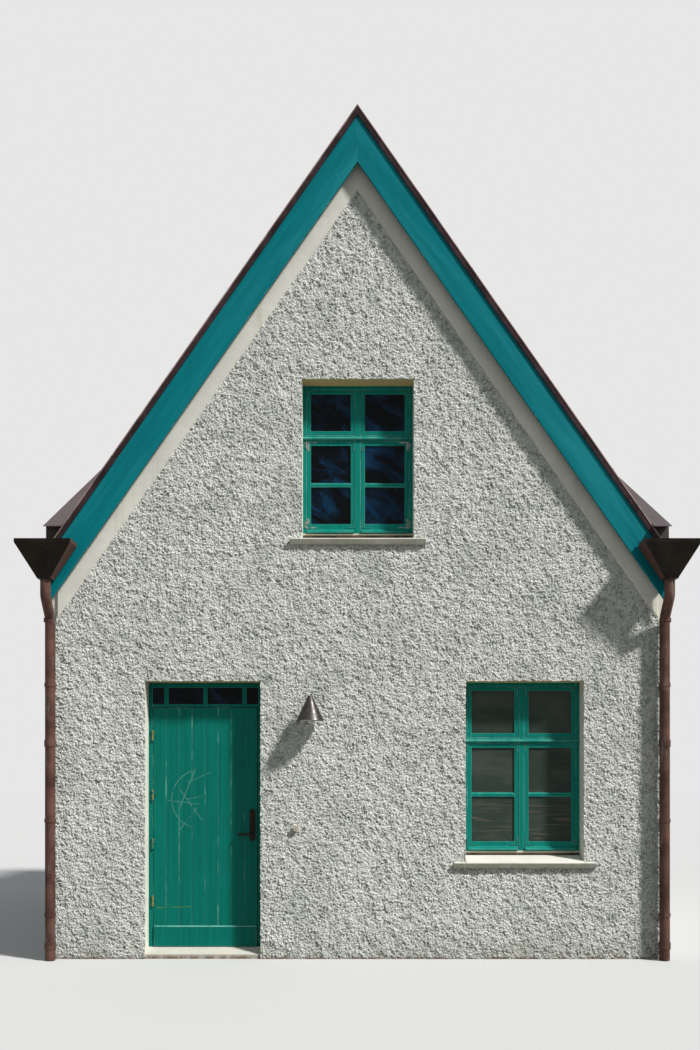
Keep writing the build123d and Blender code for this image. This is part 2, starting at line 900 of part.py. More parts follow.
with BuildPart() as door_frame:
    with BuildSketch(Plane.XZ.offset(frame_y)):
        with Locations((door_x, ground_floor_level)):
            Rectangle(door_opening_width, lintel_level - ground_floor_level,
                      align=(Align.CENTER, Align.MIN))
    extrude(amount=-joinery_depth)
    with BuildSketch(Plane.XZ.offset(frame_y)):
        with Locations((door_x, ground_floor_level)):
            Rectangle(door_opening_width - 2 * door_frame_face,
                      door_opening_top - ground_floor_level, align=(Align.CENTER, Align.MIN))
    extrude(amount=-(door_leaf_thickness + door_clearance), mode=Mode.SUBTRACT)
    with BuildSketch(Plane.XZ.offset(frame_y)):
        with Locations((door_x, ground_floor_level)):
            Rectangle(door_opening_width - 2 * (door_frame_face + door_stop),
                      door_opening_top - door_stop - ground_floor_level,
                      align=(Align.CENTER, Align.MIN))
        with Locations((door_x, lintel_level - door_head_face)):
            Rectangle(door_opening_width - 2 * door_frame_face,
                      lintel_level - door_head_face - door_opening_top - transom_bar_face,
                      align=(Align.CENTER, Align.MAX))
    extrude(amount=-joinery_depth, mode=Mode.SUBTRACT)
door_frame.part.label = "door_frame"
pieces.append(door_frame)

with BuildPart() as transom_glass:
    with BuildSketch(Plane.XZ.offset(frame_y - glass_setback)):
        with Locations((door_x, lintel_level - door_head_face - glass_clearance)):
            Rectangle(door_opening_width - 2 * (door_frame_face + glass_clearance),
                      lintel_level - door_head_face - door_opening_top - transom_bar_face
                      - 2 * glass_clearance,
                      align=(Align.CENTER, Align.MAX))
    extrude(amount=-glass_thickness)
transom_glass.part.label = "transom_glass"
pieces.append(transom_glass)

# Door leaf and what is fixed to it
with BuildPart() as door_leaf:
    with BuildSketch(Plane.XZ.offset(frame_y)):
        with Locations((leaf_middle, leaf_bottom)):
            Rectangle(leaf_right - leaf_left, door_leaf_top_level - leaf_bottom,
                      align=(Align.CENTER, Align.MIN))
    extrude(amount=-door_leaf_thickness)
door_leaf.part.label = "door_leaf"
pieces.append(door_leaf)

with BuildPart() as kickboard:
    with BuildSketch(Plane.XZ.offset(frame_y)):
        with Locations((leaf_middle, leaf_bottom)):
            Rectangle(leaf_right - leaf_left - 2 * kickboard_margin, kickboard_height,
                      align=(Align.CENTER, Align.MIN))
    extrude(amount=kickboard_thickness)
    top_front_edge = kickboard.edges().filter_by(Axis.X).group_by(Axis.Z)[-1].sort_by(Axis.Y)[0]
    chamfer(top_front_edge, kickboard_chamfer)
kickboard.part.label = "kickboard"
pieces.append(kickboard)

# Hinges: a barrel in two halves, one with a flap on the frame and one on the leaf
hinge_x = (door_opening_left + leaf_left) / 2
hinge_y = frame_y + hinge_barrel_offset
half_barrel = (hinge_length - hinge_halves_gap) / 2

with BuildPart() as hinge_frame_halves:
    for level in hinge_levels:
        with BuildSketch(Plane.XY.offset(level - hinge_length / 2)):
            with Locations((hinge_x, -hinge_y)):
                Circle(hinge_barrel_radius)
            with Locations((door_opening_left, -frame_y)):
                Rectangle(hinge_flap_width, hinge_flap_thickness, align=(Align.MAX, Align.MAX))
                Rectangle(hinge_x - door_opening_left, hinge_flap_thickness,
                          align=(Align.MIN, Align.MAX))
        extrude(amount=half_barrel)
hinge_frame_halves.part.label = "hinge_frame_halves"
pieces.append(hinge_frame_halves)

with BuildPart() as hinge_door_halves:
    for level in hinge_levels:
        with BuildSketch(Plane.XY.offset(level + hinge_length / 2 - half_barrel)):
            with Locations((hinge_x, -hinge_y)):
                Circle(hinge_barrel_radius)
            with Locations((leaf_left, -frame_y)):
                Rectangle(hinge_flap_width, hinge_flap_thickness, align=(Align.MIN, Align.MAX))
                Rectangle(leaf_left - hinge_x, hinge_flap_thickness,
                          align=(Align.MAX, Align.MAX))
        extrude(amount=half_barrel)
hinge_door_halves.part.label = "hinge_door_halves"
pieces.append(hinge_door_halves)

# Handle: a long plate, and a lever that turns in front of it
handle_x = leaf_right - handle_from_edge
plate_face = frame_y + handle_plate_thickness

with BuildPart() as handle_plate:
    with BuildSketch(Plane.XZ.offset(frame_y)):
        with Locations((handle_x, handle_plate_level)):
            RectangleRounded(handle_plate_width, handle_plate_height, handle_plate_width / 5)
    extrude(amount=handle_plate_thickness)
    chamfer(handle_plate.faces().sort_by(Axis.Y)[0].edges(), handle_plate_thickness / 4)
handle_plate.part.label = "handle_plate"
pieces.append(handle_plate)

with BuildPart() as door_lever:
    with BuildSketch(Plane.XZ.offset(plate_face + lever_clearance)):
        with Locations((handle_x, lever_level)):
            Circle(lever_neck_radius)
    extrude(amount=lever_neck_length)
    with BuildSketch(Plane.XZ.offset(plate_face + lever_clearance + lever_neck_length
                                     - lever_thickness)):
        with Locations((handle_x - lever_length / 2, lever_level)):
            SlotOverall(lever_length + lever_height, lever_height)
    extrude(amount=lever_thickness)
    fillet(door_lever.faces().sort_by(Axis.Y)[0].edges(), lever_thickness / 4)
door_lever.part.label = "door_lever"
pieces.append(door_lever)

# Wall lamp: a cone shade on a short arm
lamp_x = door_right + lamp_door_distance
lamp_y = half_depth + lamp_wall_distance
lamp_axis = Axis((lamp_x, -lamp_y, 0), (0, 0, 1))

with BuildPart() as lamp_shade:
    with BuildSketch(Plane((lamp_x, -lamp_y, 0), x_dir=(1, 0, 0), z_dir=(0, -1, 0))):
        with BuildLine():
            Polyline(
                (0, lamp_top_level),
                (lamp_top_radius, lamp_top_level),
                (lamp_bottom_radius, lamp_bottom_level),
                (lamp_bottom_radius - lamp_shell, lamp_bottom_level),
                (lamp_bottom_radius - lamp_shell - lamp_recess / 2, lamp_bottom_level + lamp_recess),
                (0, lamp_bottom_level + lamp_recess),
                close=True,
            )
        make_face()
    revolve(axis=lamp_axis)
lamp_shade.part.label = "lamp_shade"
pieces.append(lamp_shade)

with BuildPart() as lamp_arm:
    with BuildSketch(Plane.XZ.offset(half_depth)):
        with Locations((lamp_x, lamp_arm_level)):
            Circle(lamp_rose_radius)
    extrude(amount=lamp_rose_thickness)
    with BuildSketch(Plane.XZ.offset(half_depth)):
        with Locations((lamp_x, lamp_arm_level)):
            Circle(lamp_arm_radius)
    extrude(amount=lamp_wall_distance)
    with BuildSketch(Plane((lamp_x, -lamp_y, 0), x_dir=(1, 0, 0), z_dir=(0, -1, 0))):
        with BuildLine():
            Polyline(
                (0, lamp_top_level + lamp_clearance),
                (lamp_top_radius + lamp_clearance, lamp_top_level),
                (lamp_bottom_radius + lamp_clearance, lamp_bottom_level),
                (0, lamp_bottom_level),
                close=True,
            )
        make_face()
    revolve(axis=lamp_axis, mode=Mode.SUBTRACT)
lamp_arm.part.label = "lamp_arm"
pieces.append(lamp_arm)

# Bell push
bell_x = door_right + bell_door_distance

with BuildPart() as bell_push:
    with BuildSketch(Plane.XZ.offset(half_depth)):
        with Locations((bell_x, bell_level)):
            Circle(bell_radius)
    extrude(amount=bell_thickness)
    fillet(bell_push.faces().sort_by(Axis.Y)[0].edges(), bell_thickness / 3)
    with BuildSketch(Plane.XZ.offset(half_depth + bell_thickness)):
        with Locations((bell_x, bell_level)):
            Circle(bell_button_radius)
    extrude(amount=bell_button_height)
bell_push.part.label = "bell_push"
pieces.append(bell_push)

# Roughcast: a coat on the front wall, and one on the rear wall
with BuildPart() as front_coat:
    add(make_coat([upper_window, lower_window]))
    with BuildSketch(Plane.XZ.offset(half_depth)):
        with Locations((door_x, 0)):
            Rectangle(door_opening_width, lintel_level, align=(Align.CENTER, Align.MIN))
        with Locations((lamp_x, lamp_arm_level)):
            Circle(lamp_rose_radius + coat_fitting_gap)
        with Locations((bell_x, bell_level)):
            Circle(bell_radius + coat_fitting_gap)
    extrude(amount=coat_thickness, mode=Mode.SUBTRACT)

rear_coat = make_coat(rear_window_places)
with BuildPart() as roughcast_coat:
    add(front_coat.part)
    mirror(rear_coat, about=Plane.XZ)
roughcast_coat.part.label = "roughcast_coat"
pieces.append(roughcast_coat)

for piece in pieces:
    export_step(piece.part, f"parts/{piece.part.label}.step")
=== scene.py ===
"""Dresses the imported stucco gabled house: roughcast, joinery, roof metal and rain goods.

All sizes are in metres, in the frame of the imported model: X to the right along the street
front, Y from the front to the rear, Z up from the ground.
"""

from dataclasses import dataclass
from math import cos, pi, radians, sin, tan
import json

import bmesh
import bpy
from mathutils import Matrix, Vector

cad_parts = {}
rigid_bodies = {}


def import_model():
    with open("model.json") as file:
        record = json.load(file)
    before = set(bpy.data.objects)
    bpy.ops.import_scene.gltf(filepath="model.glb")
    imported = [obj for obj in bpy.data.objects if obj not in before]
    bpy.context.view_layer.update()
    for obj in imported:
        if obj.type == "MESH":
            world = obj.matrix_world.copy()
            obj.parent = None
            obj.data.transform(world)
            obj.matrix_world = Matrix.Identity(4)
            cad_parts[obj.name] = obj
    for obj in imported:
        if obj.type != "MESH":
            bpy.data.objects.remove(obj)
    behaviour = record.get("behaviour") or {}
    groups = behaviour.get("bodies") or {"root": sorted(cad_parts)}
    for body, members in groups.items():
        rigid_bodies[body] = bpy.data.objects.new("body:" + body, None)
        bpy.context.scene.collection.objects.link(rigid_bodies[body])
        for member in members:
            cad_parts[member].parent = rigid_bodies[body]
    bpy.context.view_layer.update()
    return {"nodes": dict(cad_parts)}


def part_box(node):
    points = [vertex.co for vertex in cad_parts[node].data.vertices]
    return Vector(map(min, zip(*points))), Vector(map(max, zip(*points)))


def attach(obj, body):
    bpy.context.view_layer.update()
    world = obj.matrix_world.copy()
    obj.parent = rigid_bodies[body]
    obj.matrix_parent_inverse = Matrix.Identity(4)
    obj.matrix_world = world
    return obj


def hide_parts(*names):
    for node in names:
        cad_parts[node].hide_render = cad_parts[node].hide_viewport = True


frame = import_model()

bl_info = {
    "name": "Stucco gabled house",
    "version": (1, 0, 0),
    "blender": (4, 5, 0),
    "location": "3D View > Sidebar > House",
    "description": "Builds the looks of a stucco gabled house around its packed solids",
    "category": "Object",
}

ROOF_PITCH = radians(55)
RIDGE_LEVEL = 6.970
BAND_DEPTH = 0.345
COAT_KEY = 0.003
LUMP_SCALE = 74
LUMP_LEAN = (0.52, 0.40)
SEAM_SPACING = 0.370
PARTY_EDGE = (2.535, 2.545)
WALL_FACE = 2.5

# Roughcast: share of the larger lumps, swell of the wall, lift under the lumps, sideways drift
THROW_SHARE = 0.40
WAVE_HEIGHT = 0.008
RELIEF_FLOOR = 0.0030
LUMP_WANDER = 0.022

# Sills: underside below the opening, ends beside it, gap under the frame, reach out and in
SILL_DROP = 0.096
SILL_EAR = 0.098
SILL_GAP = 0.0006
SILL_NOSE, SILL_INSIDE = 2.555, 2.22

# Door: places along X and heights above the ground
HINGE_BARREL = -1.7185
TRANSOM_BARS = (-1.606, -1.2765, -0.948)
DOOR_STOP = 0.012
PLATE_END = 0.018
KEYHOLE_LEVEL, LEVER_LEVEL = 1.112, 1.022

BOARD_NEAR, BOARD_FAR, BOARD_THICK = 0.036, 0.254, 0.025
LAP_PLACES = (0.62, 1.62, 2.62, 3.62)

PIPE_INSET, PIPE_Y, COLLAR_LEVEL = 0.042, 2.585, 2.785
BULB_RISE = 0.055
BELL_DEPTH = 0.044

# Camera: height, row of the horizon and focal length in pixels of the photograph
PHOTO_HEIGHT, HORIZON_ROW, FOCAL_PIXELS = 1050, 776, 1089
SENSOR_WIDTH = 36


def colour(name, description, default):
    """A colour setting, in linear red, green and blue."""
    return bpy.props.FloatVectorProperty(
        name=name, description=description, default=default, min=0, max=1, size=3,
        subtype="COLOR")


def length(name, description, default):
    """A length setting, in metres."""
    return bpy.props.FloatProperty(
        name=name, description=description, default=default, min=0, unit="LENGTH",
        precision=4)


class HouseColours(bpy.types.PropertyGroup):
    """Main colours of the paints, renders and metals."""

    roughcast_high: colour("Roughcast", "Clean tops of the roughcast", (0.826, 0.843, 0.786))
    # Painted shade between the lumps; a darker tone of it also makes the dirt blots.
    roughcast_shade_and_dirt: colour("Roughcast hollows", "Dirt between the lumps", (0.345, 0.367, 0.337))
    cream: colour("Cream render", "Smooth bands and reveals", (0.66, 0.645, 0.575))
    party: colour("Party wall render", "Plain render on the party walls", (0.50, 0.49, 0.44))
    sill: colour("Sills", "Painted sills and threshold", (0.64, 0.63, 0.57))
    window_paint: colour("Window paint", "Green of the windows", (0.003, 0.180, 0.142))
    door_paint: colour("Door paint", "Green of the door", (0.002, 0.140, 0.108))
    board_paint: colour("Bargeboard paint", "Blue-green of the bargeboards", (0.002, 0.152, 0.176))
    # Pale chalky paint; on arrises it also serves as a painted highlight.
    chalk_and_highlight: colour("Worn paint", "Chalky paint on arrises and scratches", (0.22, 0.50, 0.45))
    roof: colour("Roof metal", "Brown weathered roof sheets", (0.080, 0.058, 0.054))
    # Near-black: dark copper, darkened partly as painted shade.
    rain: colour("Rain goods", "Hopper heads and their rims", (0.009, 0.007, 0.0045))
    pipe: colour("Downpipes", "Reddish brown pipes", (0.098, 0.050, 0.039))


class HouseSizes(bpy.types.PropertyGroup):
    """Sizes of the details that the solids don't carry."""

    front_cell: length("Front grain", "Mesh size of the front roughcast", 0.0075)
    rear_cell: length("Rear grain", "Mesh size of the rear roughcast", 0.020)
    relief: length("Relief", "Depth of the roughcast", 0.0196)
    arris: length("Arris", "Width of the rounded joinery edges", 0.0025)
    board_arris: length("Board arris", "Width of the door boards' chamfers", 0.0045)
    bar_width: length("Glazing bar", "Width of the glazing bars", 0.040)


class StageSettings(bpy.types.PropertyGroup):
    """Strength of the lamps."""

    key: bpy.props.FloatProperty(
        name="Key", description="Strength of the broad key light", default=5.1, min=0)
    fill: bpy.props.FloatProperty(
        name="Surroundings", description="Strength of the light from all round", default=0.36,
        min=0)


def colours():
    return bpy.context.scene.house_colours


def sizes():
    return bpy.context.scene.house_sizes


class Finish:
    """A node material while it is being put together."""

    def __init__(self, name, roughness=0.6, metallic=0.0, specular=0.5):
        self.material = bpy.data.materials.new(name)
        self.material.use_nodes = True
        self.tree = self.material.node_tree
        self.shader = self.tree.nodes["Principled BSDF"]
        self.shader.inputs["Roughness"].default_value = roughness
        self.shader.inputs["Metallic"].default_value = metallic
        self.shader.inputs["Specular IOR Level"].default_value = specular
        self.place = self.tree.nodes.new("ShaderNodeTexCoord").outputs["Object"]

    def node(self, kind, settings=None, **sockets):
        """A node with its settings, and its sockets linked or set."""
        node = self.tree.nodes.new(kind)
        for setting, value in (settings or {}).items():
            setattr(node, setting, value)
        for name, value in sockets.items():
            socket = node.inputs[int(name[1:])] if name[0] == "i" and name[1:].isdigit() \
                else node.inputs[name.replace("_", " ")]
            if isinstance(value, bpy.types.NodeSocket):
                self.tree.links.new(value, socket)
            else:
                socket.default_value = value
        return node

    def stretched(self, scale, turn=None):
        """The object's coordinates, turned first and then stretched."""
        place = self.place
        if turn:
            place = self.node("ShaderNodeMapping", Vector=place, Rotation=turn).outputs["Vector"]
        return self.node("ShaderNodeMapping", Vector=place, Scale=scale).outputs["Vector"]

    def noise(self, scale, detail=2.0, roughness=0.5, distortion=0.0, where=None):
        """Cloudy noise from 0 to 1."""
        return self.node("ShaderNodeTexNoise", Vector=where or self.place, Scale=scale,
                         Detail=detail, Roughness=roughness,
                         Distortion=distortion).outputs["Fac"]

    def step(self, value, low, high, out_low=0.0, out_high=1.0):
        """A smooth step of a value between two bounds."""
        return self.node("ShaderNodeMapRange", {"interpolation_type": "SMOOTHSTEP"},
                         Value=value, i1=low, i2=high, i3=out_low,
                         i4=out_high).outputs["Result"]

    def math(self, operation, first, second=0.0):
        return self.node("ShaderNodeMath", {"operation": operation}, i0=first,
                         i1=second).outputs[0]

    def mix(self, factor, first, second, blend="MIX"):
        """Mixes two colours."""
        node = self.tree.nodes.new("ShaderNodeMix")
        node.data_type = "RGBA"
        node.blend_type = blend
        for index, value in ((0, factor), (6, first), (7, second)):
            if isinstance(value, bpy.types.NodeSocket):
                self.tree.links.new(value, node.inputs[index])
            elif index:
                node.inputs[index].default_value = (*value[:3], 1)
            else:
                node.inputs[index].default_value = value
        return node.outputs[2]

    def add(self, first, second, share):
        """One value with a share of another added."""
        return self.math("ADD", first, self.math("MULTIPLY", second, share))

    def drawn(self, scale, detail, roughness, distortion=0.0, turn=None):
        """Noise that is drawn out along the axes with a small scale."""
        return self.noise(1.0, detail, roughness, distortion, self.stretched(scale, turn))

    def layer(self, base, over, pattern, low, high, share):
        """A colour with up to a share of another over it, where a pattern is high."""
        return self.mix(self.step(pattern, low, high, 0.0, share), base, over)

    def shades(self, base, dark, light, pattern, low, high):
        """A colour that goes from a darker to a lighter tone with a pattern."""
        return self.mix(self.step(pattern, low, high), tone(base, dark), tone(base, light))

    def axis(self, name):
        """One of the object's coordinates."""
        return self.node("ShaderNodeSeparateXYZ", Vector=self.place).outputs[name]

    def facing(self, name):
        """How far the surface faces along one axis, from -1 to 1."""
        normal = self.node("ShaderNodeNewGeometry").outputs["Normal"]
        return self.node("ShaderNodeSeparateXYZ", Vector=normal).outputs[name]

    def colour(self, value):
        self.tree.links.new(value, self.shader.inputs["Base Color"])

    def roughness(self, value):
        self.tree.links.new(value, self.shader.inputs["Roughness"])

    def bump(self, height, strength, distance, under=None):
        """Adds fine relief to the surface."""
        bump = self.node("ShaderNodeBump", Height=height, Strength=strength,
                         Distance=distance)
        if under:
            self.tree.links.new(under, bump.inputs["Normal"])
        self.tree.links.new(bump.outputs["Normal"], self.shader.inputs["Normal"])
        return bump.outputs["Normal"]


def tone(value, factor):
    """A colour made lighter or darker."""
    return tuple(min(1.0, part * factor) for part in value)


def make_roughcast(name):
    """Limewashed roughcast: clean tops, painted shade in the hollows, and the lumps' own relief."""
    finish = Finish(name, roughness=0.93, specular=0.2)
    relief = finish.node("ShaderNodeAttribute", {"attribute_name": "relief"}).outputs["Fac"]
    grit = finish.noise(150, 3, 0.6)
    height = finish.add(relief, finish.math("SUBTRACT", grit, 0.5), 0.5)
    # Hollows get the darker colour: painted shade between the lumps.
    clean = finish.mix(finish.step(height, 0.02, 0.60), colours().roughcast_shade_and_dirt,
                       colours().roughcast_high)
    stains = finish.noise(1.7, 5, 0.62)
    clean = finish.layer(clean, tone(colours().roughcast_high, 0.74), stains, 0.42, 0.70, 0.22)
    streaks = finish.drawn((7, 7, 0.55), 4, 0.6)
    clean = finish.layer(clean, (0.42, 0.41, 0.35), streaks, 0.56, 0.78, 0.16)
    damp = finish.noise(3.3, 4, 0.60)
    clean = finish.layer(clean, (0.37, 0.41, 0.36), damp, 0.44, 0.70, 0.30)
    blots = finish.noise(13, 4, 0.62)
    clean = finish.layer(clean, tone(colours().roughcast_shade_and_dirt, 0.78), blots, 0.52, 0.70, 0.12)
    splash = finish.math("MULTIPLY", finish.step(finish.axis("Z"), 0.02, 0.28, 1.0, 0.0),
                         finish.step(finish.noise(5, 4, 0.6), 0.34, 0.66, 0.05, 0.42))
    clean = finish.mix(splash, clean, (0.33, 0.33, 0.25))
    soil = finish.math("MULTIPLY", finish.step(finish.axis("Z"), 0.004, 0.026, 1.0, 0.0),
                       finish.step(finish.noise(11, 4, 0.7), 0.36, 0.56, 0.15, 0.85))
    finish.colour(finish.mix(soil, clean, (0.20, 0.115, 0.080)))
    across, up = finish.axis("X"), finish.axis("Z")
    leaning = finish.add(finish.math("MULTIPLY", across, LUMP_LEAN[0]), up, LUMP_LEAN[1])
    flat = finish.node("ShaderNodeCombineXYZ", X=across, Y=leaning, Z=up).outputs[0]
    lumps = finish.noise(LUMP_SCALE, 3.5, 0.5, 0.25, where=flat)
    fine = finish.noise(210, 4, 0.7)
    finish.bump(finish.add(finish.step(lumps, 0.26, 0.62), fine, 0.80), 1.0, 0.0122)
    return finish.material


def make_smooth_render(name, base, dirt=(0.33, 0.31, 0.22), wear=0.35, ends=None):
    """Smooth painted render with dirt runs, specks, undersides tinted yellow as painted warm bounce
    light, and plainer ends.
    """
    finish = Finish(name, roughness=0.85, specular=0.2)
    clouds = finish.step(finish.noise(2.6, 5, 0.6), 0.25, 0.75)
    paint = finish.mix(clouds, tone(base, 0.92), tone(base, 1.06))
    # Faces turned down get a yellow tint: painted warm bounce light under soffits and heads.
    paint = finish.mix(finish.step(finish.facing("Z"), -0.9, -0.5, 1.0, 0.0), paint,
                       (0.60, 0.46, 0.21))
    if ends:
        outside = finish.step(finish.math("ABSOLUTE", finish.axis("X")), *PARTY_EDGE)
        plain = finish.mix(clouds, tone(ends, 0.92), tone(ends, 1.06))
        paint = finish.mix(outside, paint, plain)
    streaks = finish.drawn((16, 16, 1.1), 4, 0.62)
    paint = finish.layer(paint, dirt, streaks, 0.54, 0.80, wear)
    specks = finish.noise(55, 2, 0.6)
    finish.colour(finish.layer(paint, dirt, specks, 0.66, 0.74, 0.35))
    trowel = finish.noise(7, 3, 0.5, where=finish.stretched((1, 1, 2.2)))
    grit = finish.noise(210, 2, 0.6)
    finish.bump(finish.add(trowel, grit, 0.16), 0.5, 0.004)
    return finish.material


def make_paint(name, base, grain=(30, 30, 1.6), turn=None, fade=0.30, roughness=0.45,
               patch=0.16):
    """Brushed gloss paint with faded patches, on timber whose grain runs one way."""
    finish = Finish(name, roughness=roughness, specular=0.06)
    brush = finish.drawn(grain, 4, 0.6, turn=turn)
    patches = finish.noise(patch, 5, 0.62, 0.4, where=finish.stretched(grain, turn))
    paint = finish.shades(base, 0.88, 1.11, brush, 0.25, 0.75)
    faded = tuple(1.22 * part + 0.03 * pale for part, pale in zip(base, colours().chalk_and_highlight))
    paint = finish.layer(paint, faded, patches, 0.44, 0.70, fade)
    chips = finish.noise(75, 3, 0.6)
    chip = finish.step(chips, 0.73, 0.76, 0.0, 0.8)
    finish.colour(finish.mix(chip, paint, colours().chalk_and_highlight))
    finish.roughness(finish.step(patches, 0.3, 0.8, roughness - 0.08, roughness + 0.22))
    finish.bump(finish.add(finish.math("MULTIPLY", brush, 0.6), chips, 0.25), 0.35, 0.0014)
    return finish.material


def make_worn_highlit_arris(name, base, bare=0.35, worn=(0.38, 0.60), least_highlight=0.1):
    """Edges paler partly from rubbed paint and partly as a painted highlight, with bare wood in
    places.
    """
    finish = Finish(name, roughness=0.55, specular=0.12)
    rubbed = finish.drawn((9, 9, 3.2), 4, 0.65)
    # A floor share of pale paint along every arris is a painted highlight; the rubbed pattern adds
    # real wear.
    paint = finish.mix(finish.step(rubbed, *worn, least_highlight, 1.0), tone(base, 1.15),
                       colours().chalk_and_highlight)
    wood = finish.noise(21, 4, 0.6)
    finish.colour(finish.layer(paint, (0.33, 0.23, 0.12), wood, 0.63, 0.68, bare))
    finish.bump(finish.noise(160, 2, 0.5), 0.3, 0.0008)
    return finish.material


def make_bare_wood(name):
    finish = Finish(name, roughness=0.75, specular=0.3)
    grain = finish.drawn((1.2, 60, 60), 5, 0.65)
    wood = finish.mix(finish.step(grain, 0.30, 0.75), (0.055, 0.036, 0.024), (0.21, 0.145, 0.090))
    dirt = finish.noise(4.5, 4, 0.6)
    finish.colour(finish.layer(wood, (0.010, 0.008, 0.007), dirt, 0.48, 0.62, 0.8))
    finish.bump(grain, 0.6, 0.0015)
    return finish.material


def make_roof_metal(name, along, across=None, first=0.0):
    """Weathered copper, cloudy and streaked down the slope, each sheet with its own tone."""
    finish = Finish(name, roughness=0.55, metallic=0.3, specular=0.2)
    clouds = finish.noise(1.3, 4, 0.55, 0.2)
    base = colours().roof
    metal = finish.shades(base, 0.80, 1.24, clouds, 0.28, 0.74)
    if across:
        sheet = finish.math("FLOOR", finish.math("DIVIDE", finish.math(
            "SUBTRACT", finish.axis(across), first), SEAM_SPACING))
        own = finish.node("ShaderNodeTexWhiteNoise", {"noise_dimensions": "1D"},
                          W=sheet).outputs["Value"]
        metal = finish.mix(finish.math("MULTIPLY", own, 0.50), metal, tone(base, 0.66))
    cool = finish.noise(0.9, 3, 0.5)
    metal = finish.layer(metal, (0.076, 0.073, 0.088), cool, 0.45, 0.70, 0.60)
    streaks = finish.drawn(along, 4, 0.55)
    metal = finish.layer(metal, (0.042, 0.029, 0.026), streaks, 0.48, 0.80, 0.42)
    bloom = finish.noise(26, 4, 0.7)
    finish.colour(finish.layer(metal, (0.135, 0.115, 0.108), bloom, 0.60, 0.76, 0.16))
    finish.roughness(finish.step(clouds, 0.2, 0.8, 0.42, 0.66))
    dents = finish.noise(5, 2, 0.5)
    finish.bump(finish.add(dents, bloom, 0.06), 0.45, 0.006)
    return finish.material


def make_rain_metal(name, base, shine=0.2, streak=(0.26, 0.17, 0.13), sunlit_flank=None,
                    run=(38, 38, 1.6), share=0.40):
    """Brown weathered copper with runs and small green spots; its sides, if a colour is given, are
    lighter and redder as painted sunlight.
    """
    finish = Finish(name, roughness=0.5, metallic=shine, specular=0.08)
    clouds = finish.noise(6, 5, 0.62)
    metal = finish.shades(base, 0.62, 1.4, clouds, 0.3, 0.7)
    if sunlit_flank:
        # Faces turned sideways get that colour: painted sunlight on the sides.
        sideways = finish.math("ABSOLUTE", finish.facing("X"))
        metal = finish.mix(finish.step(sideways, 0.45, 0.75), metal, sunlit_flank)
    runs = finish.drawn(run, 5, 0.65)
    metal = finish.layer(metal, streak, runs, 0.54, 0.70, share)
    spots = finish.noise(70, 3, 0.6)
    finish.colour(finish.layer(metal, (0.10, 0.20, 0.165), spots, 0.68, 0.74, 0.45))
    finish.roughness(finish.step(clouds, 0.2, 0.8, 0.34, 0.60))
    finish.bump(finish.add(clouds, spots, 0.3), 0.35, 0.002)
    return finish.material


def make_glass(name, base, shade, roughness=0.05, scale=(3, 3, 3), turn=None, streaked_reflection=None):
    """Dark glass standing for the room behind in painted shade, with cloudy patches of painted
    reflection, faint dust, and streaks of painted reflection if given.
    """
    finish = Finish(name, roughness=roughness, specular=0.06)
    clouds = finish.drawn(scale, 8, 0.68, 0.8, turn=turn)
    # The second colour, in cloudy patches, is painted reflection.
    glass = finish.mix(finish.step(clouds, 0.44, 0.68), base, shade)
    if streaked_reflection:
        # Streaks, stronger low down, are painted reflection.
        streak_pattern = finish.drawn((1.6, 1.6, 26), 3, 0.5, 1.6)
        low = finish.step(finish.axis("Z"), 1.15, 1.42, 0.6, 0.06)
        glass = finish.mix(finish.math("MULTIPLY", finish.step(streak_pattern, 0.52, 0.66), low), glass,
                           streaked_reflection)
    dust = finish.noise(85, 3, 0.7)
    finish.colour(finish.layer(glass, (0.30, 0.31, 0.28), dust, 0.60, 0.80, 0.06))
    finish.roughness(finish.step(dust, 0.4, 0.8, roughness, roughness + 0.10))
    finish.bump(finish.noise(2.2, 2, 0.5), 0.12, 0.003)
    return finish.material


def make_boards(name, base, gap_axis, width=0.12, ends=None):
    """Plain boards, darker along their joints, and darker past the party faces if a tone is given.
    """
    finish = Finish(name, roughness=0.7)
    grain_scale = {"X": (50, 2, 50), "Y": (2, 50, 50)}[gap_axis]
    grain = finish.drawn(grain_scale, 5, 0.6)
    wood = finish.shades(base, 0.7, 1.25, grain, 0.25, 0.75)
    across = finish.math("FRACT", finish.math("DIVIDE", finish.axis(gap_axis), width))
    joint = finish.step(finish.math("ABSOLUTE", finish.math("SUBTRACT", across, 0.5)),
                        0.47, 0.495)
    wood = finish.mix(joint, wood, tone(base, 0.15))
    if ends:
        outside = finish.step(finish.math("ABSOLUTE", finish.axis("X")), *PARTY_EDGE)
        wood = finish.mix(outside, wood, (ends, ends * 0.92, ends * 0.84))
    finish.colour(wood)
    finish.bump(finish.math("SUBTRACT", grain, joint), 0.4, 0.002)
    return finish.material


def make_metal(name, base, roughness=0.35, metallic=0.9, brushed=(40, 40, 1.2)):
    """Plain brushed or cast metal with fingermarks."""
    finish = Finish(name, roughness=roughness, metallic=metallic, specular=0.12)
    brush = finish.drawn(brushed, 3, 0.6)
    clouds = finish.noise(24, 4, 0.6)
    metal = finish.shades(base, 0.78, 1.2, brush, 0.3, 0.7)
    finish.colour(finish.layer(metal, tone(base, 0.45), clouds, 0.50, 0.75, 0.5))
    finish.roughness(finish.step(clouds, 0.3, 0.75, roughness - 0.05, roughness + 0.18))
    finish.bump(finish.add(brush, clouds, 0.5), 0.2, 0.0006)
    return finish.material


